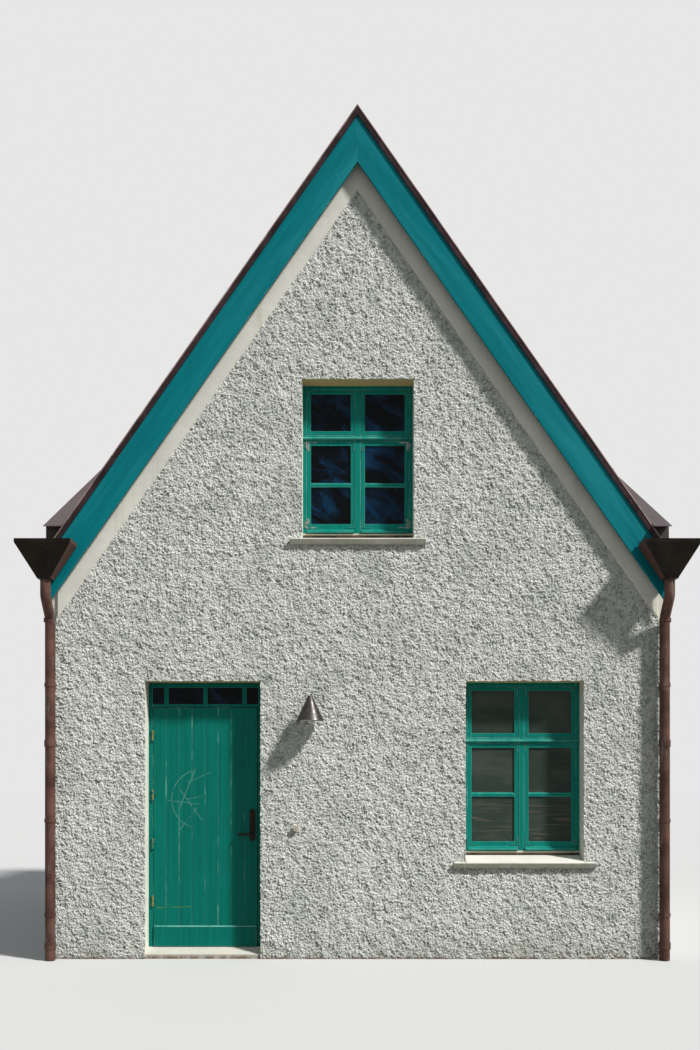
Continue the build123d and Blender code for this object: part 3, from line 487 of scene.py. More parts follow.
def make_painted_metal(name, paint, metal, barrel=None, worn=(0.40, 0.54)):
    """Metal under paint that has worn off in places, or only on a barrel at one X."""
    finish = Finish(name, roughness=0.5, metallic=0.2, specular=0.25)
    chips = finish.noise(38, 4, 0.6)
    bared = finish.step(chips, *worn)
    if barrel:
        off = finish.math("ABSOLUTE", finish.math("SUBTRACT", finish.axis("X"), barrel))
        bared = finish.math("MULTIPLY", finish.step(off, 0.0055, 0.0085, 1.0, 0.0), bared)
    clouds = finish.noise(90, 3, 0.6)
    bare = finish.shades(metal, 0.7, 1.25, clouds, 0.3, 0.7)
    finish.colour(finish.mix(bared, paint, bare))
    finish.bump(finish.math("SUBTRACT", clouds, bared), 0.3, 0.0006)
    return finish.material


def make_sill_paint(name, base):
    """Sill paint, streaked on top, olive on the faces that lean under as painted shade and algae,
    and trodden dirt.
    """
    finish = Finish(name, roughness=0.8, specular=0.2)
    clouds = finish.noise(3.2, 5, 0.6)
    paint = finish.shades(base, 0.90, 1.05, clouds, 0.3, 0.7)
    streaks = finish.drawn((9, 24, 9), 4, 0.62)
    paint = finish.layer(paint, (0.36, 0.36, 0.33), streaks, 0.54, 0.74, 0.30)
    # Olive on faces that lean under: painted shade with green bounce light, and some algae.
    under_shade_and_algae = finish.math("MULTIPLY", finish.step(finish.facing("Z"), -0.30, -0.08, 1.0, 0.0),
                         finish.step(finish.noise(14, 4, 0.6), 0.30, 0.60, 0.65, 1.0))
    under_shade_and_algae = finish.math("MULTIPLY", under_shade_and_algae, 0.58)
    paint = finish.mix(under_shade_and_algae, paint, (0.15, 0.155, 0.070))
    trodden = finish.math("MULTIPLY", finish.step(finish.axis("Z"), 0.004, 0.045, 1.0, 0.0),
                          finish.step(finish.noise(17, 4, 0.65), 0.34, 0.60, 0.25, 1.0))
    paint = finish.mix(trodden, paint, (0.17, 0.105, 0.065))
    specks = finish.noise(60, 3, 0.65)
    finish.colour(finish.layer(paint, (0.22, 0.21, 0.15), specks, 0.64, 0.72, 0.40))
    finish.bump(finish.add(clouds, specks, 0.3), 0.4, 0.003)
    return finish.material


def make_door_paint(name, core):
    """Door paint, with pale scratches and a yellowed scrape in front of the leaf's core."""
    finish = Finish(name, roughness=0.42, specular=0.07)
    base = colours().door_paint
    brush = finish.drawn((45, 45, 1.2), 4, 0.6)
    patches = finish.noise(2.0, 5, 0.6, 0.3)
    paint = finish.shades(base, 0.86, 1.14, brush, 0.25, 0.75)
    paint = finish.layer(paint, tone(base, 1.45), patches, 0.45, 0.75, 0.4)
    across, up = finish.axis("X"), finish.axis("Z")

    def distance(x, z):
        side = finish.math("SUBTRACT", across, x)
        rise = finish.math("SUBTRACT", up, z)
        return finish.math("SQRT", finish.math("ADD", finish.math("MULTIPLY", side, side),
                                               finish.math("MULTIPLY", rise, rise)))

    def arc(x, z, radius, width):
        gap = finish.math("ABSOLUTE", finish.math("SUBTRACT", distance(x, z), radius))
        return finish.step(gap, width * 0.5, width, 1.0, 0.0)

    def line(x, z, slope, reach, width):
        run = finish.math("SUBTRACT", across, x)
        gap = finish.math("SUBTRACT", finish.math("SUBTRACT", up, z),
                          finish.math("MULTIPLY", run, tan(slope)))
        near = finish.step(finish.math("MULTIPLY", finish.math("ABSOLUTE", gap), cos(slope)),
                           width * 0.5, width, 1.0, 0.0)
        return finish.math("MULTIPLY", near,
                           finish.step(distance(x, z), reach * 0.9, reach, 1.0, 0.0))

    scratches = finish.math("MULTIPLY", arc(-1.310, 1.315, 0.250, 0.0020),
                            finish.step(across, -1.46, -1.34, 1.0, 0.0))
    for place in ((-1.430, 1.400, radians(68), 0.19, 0.0019),
                  (-1.400, 1.270, radians(-54), 0.17, 0.0019),
                  (-1.465, 1.290, radians(-7), 0.15, 0.0016),
                  (-1.330, 1.500, radians(24), 0.11, 0.0014),
                  (-1.420, 1.150, radians(52), 0.13, 0.0017),
                  (-1.360, 1.330, radians(11), 0.08, 0.0014)):
        scratches = finish.math("MAXIMUM", scratches, line(*place))
    outside = finish.step(finish.axis("Y"), core - 0.004, core, 1.0, 0.0)
    broken = finish.math("MULTIPLY", outside, finish.step(finish.noise(13, 4, 0.65), 0.30, 0.55))
    scratches = finish.math("MULTIPLY", scratches, broken)
    paint = finish.mix(finish.math("MULTIPLY", scratches, 0.65), paint, (0.30, 0.52, 0.44))
    scrape = finish.math("MULTIPLY", line(-1.545, 0.408, radians(1.5), 0.15, 0.0045),
                         finish.step(finish.noise(17, 3, 0.6), 0.38, 0.52))
    scrape = finish.math("MULTIPLY", scrape, outside)
    finish.colour(finish.mix(scrape, paint, (0.10, 0.19, 0.040)))
    finish.roughness(finish.step(patches, 0.3, 0.8, 0.30, 0.52))
    finish.bump(finish.math("SUBTRACT", finish.math("MULTIPLY", brush, 0.5), scratches),
                0.35, 0.0012)
    return finish.material


def start_piece(name, finishes=()):
    """A new empty piece, active and open for blocks."""
    bpy.ops.object.select_all(action="DESELECT")
    piece = bpy.data.objects.new(name, bpy.data.meshes.new(name))
    for finish in finishes:
        piece.data.materials.append(finish)
    bpy.context.scene.collection.objects.link(piece)
    bpy.context.view_layer.objects.active = piece
    piece.select_set(True)
    bpy.ops.object.mode_set(mode="EDIT")
    bpy.ops.mesh.select_mode(type="FACE")
    return piece


def add_block(low, high, cuts=()):
    """Adds a block between two corners and saws it along each plane of cuts."""
    low, high = ([min(pair) for pair in zip(low, high)], [max(pair) for pair in zip(low, high)])
    bpy.ops.mesh.primitive_cube_add(
        size=1, location=[(a + b) / 2 for a, b in zip(low, high)],
        scale=[b - a for a, b in zip(low, high)])
    for place, normal in cuts:
        bpy.ops.mesh.bisect(plane_co=place, plane_no=normal, use_fill=True, clear_outer=True)
        bpy.ops.mesh.select_linked(delimit=set())


def add_round(place, radius, depth, vertices, upright=False):
    """Adds a round block that lies along Y or stands upright."""
    bpy.ops.mesh.primitive_cylinder_add(
        vertices=vertices, radius=radius, depth=depth, location=place,
        rotation=(0 if upright else pi / 2, 0, 0))


def pick_faces(piece, wanted):
    """Selects only the faces of the open piece that pass a test."""
    shape = bmesh.from_edit_mesh(piece.data)
    for face in shape.faces:
        face.select = wanted(face)
    bmesh.update_edit_mesh(piece.data)


def paint_selected(slot):
    """Gives the selected faces another of the piece's finishes."""
    bpy.context.object.active_material_index = slot
    bpy.ops.object.material_slot_assign()


def finish_piece(piece, finishes, body="house", arris=0.0, segments=2, arris_finish=-1,
                 smooth=50, stands_for=()):
    """Closes a piece: rounds its arrises, gives it finishes and fixes it to its body."""
    if piece.mode == "EDIT":
        bpy.ops.object.mode_set(mode="OBJECT")
    if not piece.data.materials:
        for finish in finishes:
            piece.data.materials.append(finish)
    if arris:
        bevel = piece.modifiers.new("Arrises", "BEVEL")
        bevel.width = arris
        bevel.segments = segments
        bevel.limit_method = "ANGLE"
        bevel.angle_limit = radians(28)
        bevel.material = arris_finish
        bpy.ops.object.modifier_apply(modifier=bevel.name)
        bpy.ops.object.mode_set(mode="EDIT")
        bpy.ops.mesh.select_all(action="SELECT")
        bpy.ops.mesh.dissolve_degenerate(threshold=0.00001)
        bpy.ops.object.mode_set(mode="OBJECT")
    if smooth:
        bpy.ops.object.shade_smooth_by_angle(angle=radians(smooth))
        flat = piece.modifiers.new("Flat faces", "WEIGHTED_NORMAL")
        flat.keep_sharp = True
        bpy.ops.object.modifier_apply(modifier=flat.name)
    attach(piece, body)
    if stands_for:
        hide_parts(*stands_for)
    piece.select_set(False)
    return piece


def dress(node, *finishes):
    """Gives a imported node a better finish."""
    mesh = frame["nodes"][node].data
    mesh.materials.clear()
    for finish in finishes:
        mesh.materials.append(finish)


def relief_nodes(name, outward, depth):
    """Nodes that push a flat sheet out into lumps and keep their height as "relief"."""
    group = bpy.data.node_groups.new(name, "GeometryNodeTree")
    group.interface.new_socket("Geometry", in_out="INPUT", socket_type="NodeSocketGeometry")
    group.interface.new_socket("Geometry", in_out="OUTPUT", socket_type="NodeSocketGeometry")
    nodes, links = group.nodes, group.links
    start, end = nodes.new("NodeGroupInput"), nodes.new("NodeGroupOutput")
    split = nodes.new("ShaderNodeSeparateXYZ")
    links.new(nodes.new("GeometryNodeInputPosition").outputs[0], split.inputs[0])
    flat = nodes.new("ShaderNodeCombineXYZ")

    def noise(scale, detail, distortion=0.0):
        node = nodes.new("ShaderNodeTexNoise")
        links.new(flat.outputs[0], node.inputs["Vector"])
        node.inputs["Scale"].default_value = scale
        node.inputs["Detail"].default_value = detail
        node.inputs["Distortion"].default_value = distortion
        return node.outputs

    def math(operation, first, second=0.0):
        node = nodes.new("ShaderNodeMath")
        node.operation = operation
        for index, value in enumerate((first, second)):
            if isinstance(value, bpy.types.NodeSocket):
                links.new(value, node.inputs[index])
            else:
                node.inputs[index].default_value = value
        return node.outputs[0]

    def step(value, low, high):
        node = nodes.new("ShaderNodeMapRange")
        node.interpolation_type = "SMOOTHSTEP"
        links.new(value, node.inputs[0])
        node.inputs[1].default_value = low
        node.inputs[2].default_value = high
        return node.outputs[0]

    links.new(split.outputs["X"], flat.inputs["X"])
    links.new(split.outputs["Z"], flat.inputs["Z"])
    links.new(math("ADD", math("MULTIPLY", split.outputs["X"], LUMP_LEAN[0]),
                   math("MULTIPLY", split.outputs["Z"], LUMP_LEAN[1])), flat.inputs["Y"])
    lumps = step(noise(LUMP_SCALE, 3.5, 0.25)["Fac"], 0.30, 0.70)
    throws = step(noise(16, 2.0, 0.3)["Fac"], 0.28, 0.72)
    height = math("ADD", math("MULTIPLY", lumps, 1 - THROW_SHARE),
                  math("MULTIPLY", throws, THROW_SHARE))
    waves = math("MULTIPLY", math("SUBTRACT", noise(1.6, 2.0)["Fac"], 0.5), WAVE_HEIGHT)
    lift = math("ADD", math("MULTIPLY", height, depth), math("ADD", waves, RELIEF_FLOOR))
    wander = nodes.new("ShaderNodeSeparateXYZ")
    links.new(noise(34, 2.0)["Color"], wander.inputs[0])
    above_ground = step(split.outputs["Z"], 0.0, 0.06)
    keep = nodes.new("GeometryNodeStoreNamedAttribute")
    keep.data_type = "FLOAT"
    keep.domain = "POINT"
    keep.inputs["Name"].default_value = "relief"
    links.new(start.outputs[0], keep.inputs["Geometry"])
    links.new(height, keep.inputs["Value"])
    offset = nodes.new("ShaderNodeCombineXYZ")
    links.new(math("MULTIPLY", lift, outward), offset.inputs["Y"])
    for axis in ("X", "Z"):
        swing = math("MULTIPLY", math("SUBTRACT", wander.outputs[axis], 0.5), LUMP_WANDER)
        links.new(math("MULTIPLY", swing, above_ground), offset.inputs[axis])
    push = nodes.new("GeometryNodeSetPosition")
    links.new(keep.outputs["Geometry"], push.inputs["Geometry"])
    links.new(offset.outputs[0], push.inputs["Offset"])
    links.new(push.outputs["Geometry"], end.inputs[0])
    return group


def make_roughcast_sheet(name, columns, rows, holes, cell, face, finish, gable=False):
    """One coat of roughcast: patches between the given lines, without the holes in it."""
    outward = -1 if face < 0 else 1
    piece = start_piece(name)
    for x0, x1 in zip(columns, columns[1:]):
        for z0, z1 in zip(rows, rows[1:]):
            middle_x, middle_z = (x0 + x1) / 2, (z0 + z1) / 2
            if any(left < middle_x < right and low < middle_z < high
                   for left, right, low, high in holes):
                continue
            bpy.ops.mesh.primitive_grid_add(
                x_subdivisions=max(1, round((x1 - x0) / cell)),
                y_subdivisions=max(1, round((z1 - z0) / cell)), size=1,
                location=(middle_x, face, middle_z),
                rotation=(pi / 2, 0, 0 if outward < 0 else pi))
            bpy.ops.transform.resize(value=(x1 - x0, 1, z1 - z0),
                                     center_override=(middle_x, face, middle_z))
    bpy.ops.mesh.select_all(action="SELECT")
    bpy.ops.mesh.remove_doubles(threshold=0.0005)
    if gable:
        apex = RIDGE_LEVEL - BAND_DEPTH / cos(ROOF_PITCH)
        for side in (-1, 1):
            bpy.ops.mesh.select_all(action="SELECT")
            bpy.ops.mesh.bisect(plane_co=(0, face, apex), clear_outer=True,
                                plane_no=(side * sin(ROOF_PITCH), 0, cos(ROOF_PITCH)))
    bpy.ops.object.mode_set(mode="OBJECT")
    relief = piece.modifiers.new("Relief", "NODES")
    relief.node_group = relief_nodes(f"{name} relief", outward, sizes().relief)
    bpy.ops.object.modifier_apply(modifier=relief.name)
    bpy.ops.object.shade_smooth()
    bpy.ops.object.mode_set(mode="EDIT")
    bpy.ops.mesh.select_mode(type="EDGE")
    bpy.ops.mesh.select_all(action="DESELECT")
    bpy.ops.mesh.select_non_manifold(
        extend=False, use_wire=False, use_boundary=True, use_multi_face=False,
        use_non_contiguous=False, use_verts=False)
    bpy.ops.mesh.mark_sharp()
    back = face - outward * COAT_KEY
    bpy.ops.mesh.extrude_region_move(
        TRANSFORM_OT_translate={"value": (0, -outward * 0.02, 0)})
    bpy.ops.transform.resize(value=(1, 0, 1), center_override=(0, back, 0))
    bpy.ops.mesh.mark_sharp()
    bpy.ops.mesh.fill(use_beauty=False)
    bpy.ops.mesh.select_mode(type="FACE")
    bpy.ops.mesh.select_all(action="SELECT")
    bpy.ops.mesh.normals_make_consistent(inside=False)
    return finish_piece(piece, [finish], smooth=0, stands_for=["roughcast_coat"])


class HOUSE_OT_roughcast(bpy.types.Operator):
    """Coats the front and rear walls with roughcast"""

    bl_idname = "gabled_house.roughcast"
    bl_label = "Roughcast"

    def execute(self, context):
        finish = make_roughcast("Roughcast")
        front = plan_window("upper_window_frame")
        lower = plan_window("lower_window_frame")
        door_left, door_right = box_span("threshold")
        sill_low, sill_high = front.bottom - SILL_DROP, lower.bottom - SILL_DROP
        upper_x, lower_x = (front.left, front.right), (lower.left, lower.right)
        end = cad_wall_end()
        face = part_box("front_gable")[0].y
        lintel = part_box("front_gable")[0].z
        foot = [0, sill_high, lintel]

        def front_sheet(name, columns, rows, holes=(), gable=False):
            make_roughcast_sheet(name, columns, rows, holes, sizes().front_cell, face, finish,
                                 gable)

        front_sheet("roughcast_left_of_door", [-end, door_left], foot)
        front_sheet("roughcast_beside_door",
                    [door_right, upper_x[0], 0, upper_x[1], lower_x[0]], foot)
        front_sheet("roughcast_round_lower_window", [*lower_x, end], foot,
                    [(*lower_x, sill_high, lintel)])
        left_columns = [-end, door_left, door_right, upper_x[0], 0]
        right_columns = [0, upper_x[1], *lower_x, end]
        front_sheet("roughcast_gable_foot", left_columns, [lintel, sill_low], gable=True)
        front_sheet("roughcast_gable_foot_right", right_columns, [lintel, sill_low], gable=True)
        top = RIDGE_LEVEL - BAND_DEPTH / cos(ROOF_PITCH)
        front_sheet("roughcast_gable_top", left_columns + right_columns[1:],
                    [sill_low, front.head, top], [(*upper_x, sill_low, front.head)], gable=True)
        rear_columns = [-end, -lower_x[1], -lower_x[0], *upper_x, *lower_x, end]
        make_roughcast_sheet(
            "roughcast_rear", rear_columns, foot,
            [(*lower_x, sill_high, lintel), (-lower_x[1], -lower_x[0], sill_high, lintel)],
            sizes().rear_cell, -face, finish)
        make_roughcast_sheet(
            "roughcast_rear_gable", rear_columns, [lintel, sill_low, front.head, top],
            [(*upper_x, sill_low, front.head)], sizes().rear_cell, -face, finish, gable=True)
        return {"FINISHED"}


@dataclass
class WindowPlan:
    """Where a window's frame is, and which way it looks."""

    left: float
    right: float
    bottom: float
    head: float
    face: float
    out: int
    transom: float
    rail: float

    def y(self, depth):
        """The Y of a place that lies depth behind the frame's face."""
        return self.face - self.out * depth


FRAME_FACE, MULLION, TRANSOM, STOP = 0.032, 0.046, 0.050, 0.010
SASH_GAP, STILE = 0.003, 0.033
FRAME_DEPTH = 0.070
LEAF_FACE, GLASS_FRONT, GLASS_BACK, LEAF_BACK = 0.004, 0.0157, 0.0225, 0.044
UPPER_TRANSOM, UPPER_RAIL = 4.350, 0.118
LOWER_TRANSOM, LOWER_RAIL = 1.809, 0.115


def box_span(node):
    low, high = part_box(node)
    return low.x, high.x


def cad_wall_end():
    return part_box("front_gable")[1].x


def plan_window(node):
    """Reads a front window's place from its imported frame."""
    low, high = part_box(node)
    upper = "upper" in node
    return WindowPlan(low.x, high.x, low.z, high.z, low.y, -1,
                      UPPER_TRANSOM if upper else LOWER_TRANSOM,
                      UPPER_RAIL if upper else LOWER_RAIL)


def rear_plans():
    """The rear windows: the same as in front, and one under each side of the gable."""
    upper, lower = plan_window("upper_window_frame"), plan_window("lower_window_frame")
    return [
        WindowPlan(upper.left, upper.right, upper.bottom, upper.head, -upper.face, 1,
                   upper.transom, upper.rail),
        WindowPlan(lower.left, lower.right, lower.bottom, lower.head, -lower.face, 1,
                   lower.transom, lower.rail),
        WindowPlan(-lower.right, -lower.left, lower.bottom, lower.head, -lower.face, 1,
                   lower.transom, lower.rail),
    ]


def window_lights(plan):
    """Left, right, bottom and top of each light, and whether it is a casement."""
    middle = (plan.left + plan.right) / 2
    spans = ((plan.left + FRAME_FACE, middle - MULLION / 2),
             (middle + MULLION / 2, plan.right - FRAME_FACE))
    levels = ((plan.bottom + FRAME_FACE, plan.transom - TRANSOM / 2, True),
              (plan.transom + TRANSOM / 2, plan.head - FRAME_FACE, False))
    return [(x0, x1, z0, z1, casement) for x0, x1 in spans for z0, z1, casement in levels]


def add_window_frame(plan):
    """The fixed members of a window, with their stops and the drip on the transom."""
    middle = (plan.left + plan.right) / 2
    y0, y1 = plan.y(0), plan.y(FRAME_DEPTH)
    add_block((plan.left, y0, plan.bottom), (plan.left + FRAME_FACE, y1, plan.head))
    add_block((plan.right - FRAME_FACE, y0, plan.bottom), (plan.right, y1, plan.head))
    add_block((plan.left + FRAME_FACE, y0, plan.head - FRAME_FACE),
              (plan.right - FRAME_FACE, y1, plan.head))
    add_block((middle - MULLION / 2, y0, plan.bottom + FRAME_FACE),
              (middle + MULLION / 2, y1, plan.head - FRAME_FACE))
    for x0, x1 in ((plan.left + FRAME_FACE, middle - MULLION / 2),
                   (middle + MULLION / 2, plan.right - FRAME_FACE)):
        add_block((x0, y0, plan.transom - TRANSOM / 2), (x1, y1, plan.transom + TRANSOM / 2))
    drip = plan.y(-0.016)
    add_block((plan.left + 0.002, y0, plan.transom - 0.012),
              (plan.right - 0.002, drip, plan.transom + 0.013),
              cuts=[((0, drip, plan.transom + 0.001), (0, plan.out, 1.3))])
    for x0, x1, z0, z1, _ in window_lights(plan):
        near, far = plan.y(0.0445), plan.y(0.068)
        add_block((x0, near, z0), (x0 + STOP, far, z1))
        add_block((x1 - STOP, near, z0), (x1, far, z1))
        add_block((x0 + STOP, near, z0), (x1 - STOP, far, z0 + STOP))
        add_block((x0 + STOP, near, z1 - STOP), (x1 - STOP, far, z1))


def add_window_foot(plan):
    """The bare bottom member, with a pale strip of old paint along its top edge."""
    add_block((plan.left + FRAME_FACE, plan.y(0.002), plan.bottom),
              (plan.right - FRAME_FACE, plan.y(FRAME_DEPTH), plan.bottom + FRAME_FACE))
    ends = plan.left + 0.001, plan.right - 0.001
    add_block((ends[0], plan.y(-0.0025), plan.bottom + 0.0065),
              (ends[1], plan.y(0.030), plan.bottom + 0.024))
    bpy.ops.mesh.select_all(action="DESELECT")
    add_block((ends[0], plan.y(-0.006), plan.bottom + 0.021),
              (ends[1], plan.y(0.003), plan.bottom + FRAME_FACE + 0.005),
              cuts=[((0, plan.y(-0.006), plan.bottom + FRAME_FACE), (0, plan.out * 0.7, 1))])
    paint_selected(1)


def add_leaf(plan, x0, x1, z0, z1, bottom_rail, glazing_bar=None):
    """One glazed leaf: stiles, rails, putty bevels, and its glazing bar and weather bar."""
    near, glass, inner, far = (
        plan.y(depth) for depth in (LEAF_FACE, GLASS_FRONT, GLASS_BACK, LEAF_BACK))
    x0, x1, z0, z1 = x0 + SASH_GAP, x1 - SASH_GAP, z0 + SASH_GAP, z1 - SASH_GAP
    pane = (x0 + STILE, x1 - STILE, z0 + bottom_rail, z1 - STILE)
    add_block((x0, near, z0), (pane[0], far, z1))
    add_block((pane[1], near, z0), (x1, far, z1))
    add_block((pane[0], near, z0), (pane[1], far, pane[2]))
    add_block((pane[0], near, pane[3]), (pane[1], far, z1))
    if glazing_bar:
        half = sizes().bar_width / 2
        add_block((pane[0], near, glazing_bar - half), (pane[1], glass, glazing_bar + half),
                  cuts=[((0, near, glazing_bar + half - 0.010), (0, plan.out, 1.1)),
                        ((0, near, glazing_bar - half + 0.006), (0, plan.out, -1.1))])
        add_block((pane[0], inner, glazing_bar - half * 0.7),
                  (pane[1], far, glazing_bar + half * 0.7))
        bar_out = plan.y(-0.020)
        add_block((x0 + 0.004, near, z0 + 0.006), (x1 - 0.004, bar_out, z0 + 0.040),
                  cuts=[((0, bar_out, z0 + 0.018), (0, plan.out, 1.0))])


def add_casements(plan):
    """Two casements under two top lights."""
    for x0, x1, z0, z1, casement in window_lights(plan):
        rail = plan.rail - FRAME_FACE - SASH_GAP if casement else STILE
        bar = (z0 + z1) / 2 + 0.023 if casement else None
        add_leaf(plan, x0, x1, z0, z1, rail, bar)


def add_corner_iron(plan, x, z, side, rise, hinged):
    """An L-shaped iron on a leaf's corner, with its screws, and its knuckle on the hinge side."""
    near, proud = plan.y(0.0038), plan.y(0.0012)
    arm, width, thin = 0.080, 0.019, 0.013
    add_block((x, near, z), (x + side * width, proud, z + rise * arm))
    add_block((x + side * width, near, z), (x + side * arm, proud, z + rise * thin))
    if hinged:
        add_round((x - side * 0.0050, plan.y(-0.003), z + rise * 0.032), 0.0055, 0.060, 14,
                  upright=True)
        add_block((x - side * 0.020, plan.y(0.0004), z + rise * 0.004),
                  (x - side * 0.006, plan.y(-0.0018), z + rise * 0.060))
    for x_part, z_part in ((0.5 * width, 0.82 * arm), (0.5 * width, 0.46 * arm),
                           (0.82 * arm, 0.5 * thin), (0.46 * arm, 0.5 * thin)):
        add_round((x + side * x_part, plan.y(0.0005), z + rise * z_part), 0.0036, 0.0024, 10)


def add_irons(plan, hinged):
    """The irons on the hinge side of the casements, or those on all the other corners."""
    for x0, x1, z0, z1, casement in window_lights(plan):
        outer_left = x0 < (plan.left + plan.right) / 2 - 0.1
        for x, side in ((x0 + SASH_GAP, 1), (x1 - SASH_GAP, -1)):
            if hinged != (casement and (side > 0) == outer_left):
                continue
            add_corner_iron(plan, x, z1 - SASH_GAP, side, -1, hinged)
            if casement:
                add_corner_iron(plan, x, z0 + 0.048, side, 1, hinged)


def make_window_set(prefix, plans, stands_for_frame, stands_for_sashes, iron="Painted iron"):
    """Frame, casements and irons of windows that share one name."""
    paint = [bpy.data.materials["Window paint"], bpy.data.materials["Window arris"]]
    piece = start_piece(f"{prefix}_frame_joinery")
    for plan in plans:
        add_window_frame(plan)
    finish_piece(piece, paint, arris=sizes().arris, arris_finish=1,
                 stands_for=stands_for_frame)
    piece = start_piece(f"{prefix}_frame_foot",
                        [bpy.data.materials["Bare wood"], bpy.data.materials["Old paint"]])
    for plan in plans:
        add_window_foot(plan)
    finish_piece(piece, [], arris=0.0015)
    piece = start_piece(f"{prefix}_casements")
    for plan in plans:
        add_casements(plan)
    finish_piece(piece, paint, arris=sizes().arris, arris_finish=1,
                 stands_for=stands_for_sashes)
    for hinged, name, finish in ((True, "hinge_irons", iron),
                                 (False, "corner_irons", "Painted iron")):
        piece = start_piece(f"{prefix}_{name}")
        for plan in plans:
            add_irons(plan, hinged)
        finish_piece(piece, [bpy.data.materials[finish]], arris=0.0006,
                     segments=1)


class HOUSE_OT_windows(bpy.types.Operator):
    """Builds the window joinery, with its irons and glass"""

    bl_idname = "gabled_house.windows"
    bl_label = "Windows"

    def execute(self, context):
        make_paint("Window paint", colours().window_paint)
        make_worn_highlit_arris("Window arris", colours().window_paint, 0.20, least_highlight=0.25)
        make_bare_wood("Bare wood")
        make_smooth_render("Old paint", (0.56, 0.52, 0.42), (0.10, 0.07, 0.04), 0.6)
        make_painted_metal("Hinge iron", colours().window_paint, (0.27, 0.265, 0.24),
                           worn=(0.42, 0.54))
        make_painted_metal("Painted iron", colours().window_paint, (0.12, 0.085, 0.075),
                           worn=(0.56, 0.68))
        make_window_set("upper_window", [plan_window("upper_window_frame")],
                        ["upper_window_frame"], ["upper_window_sashes"], "Hinge iron")
        make_window_set("lower_window", [plan_window("lower_window_frame")],
                        ["lower_window_frame"], ["lower_window_sashes"])
        make_window_set("rear_window", rear_plans(), ["rear_windows"], [])
        # Near-black glass is painted shade of the room behind; its blue patches are painted sky
        # reflection.
        dark = make_glass("Dark glass", (0.002, 0.003, 0.004), (0.004, 0.034, 0.085), 0.05,
                          (2.2, 2.2, 5.5), (0, radians(-38), 0))
        # Grey-green glass whose patches and warm streaks are painted reflection.
        grey_glass = make_glass("Filmed glass", (0.030, 0.045, 0.036), (0.056, 0.072, 0.060), 0.14,
                          (1.2, 1.2, 2.4), streaked_reflection=(0.15, 0.12, 0.085))
        dress("upper_window_glass", dark)
        dress("lower_window_glass", grey_glass)
        dress("rear_window_glass", dark)
        return {"FINISHED"}


class HOUSE_OT_sills(bpy.types.Operator):
    """Builds the sills, whose fronts lean back under a round nose"""

    bl_idname = "gabled_house.sills"
    bl_label = "Sills"

    def execute(self, context):
        piece = start_piece("window_sills_render")
        plans = [plan_window("upper_window_frame"), plan_window("lower_window_frame"),
                 *rear_plans()]
        for plan in plans:
            wall, nose, inside = (plan.out * place for place in (WALL_FACE, SILL_NOSE, SILL_INSIDE))
            low, front_top = plan.bottom - SILL_DROP, plan.bottom - 0.046
            under = ((0, nose, front_top - 0.010), (0, plan.out, -0.40))
            fall = ((0, plan.face, plan.bottom - SILL_GAP), (0, plan.out * 0.046, 0.215))
            add_block((plan.left, inside, low), (plan.right, nose, plan.bottom - SILL_GAP),
                      cuts=[fall, under])
            for x0, x1 in ((plan.left - SILL_EAR, plan.left), (plan.right, plan.right + SILL_EAR)):
                add_block((x0, wall, low), (x1, nose, front_top), cuts=[under])
        finish_piece(piece, [bpy.data.materials["Sill paint"]], arris=0.005,
                     segments=3, stands_for=["window_sills"])
        dress("threshold", bpy.data.materials["Threshold paint"])
        return {"FINISHED"}


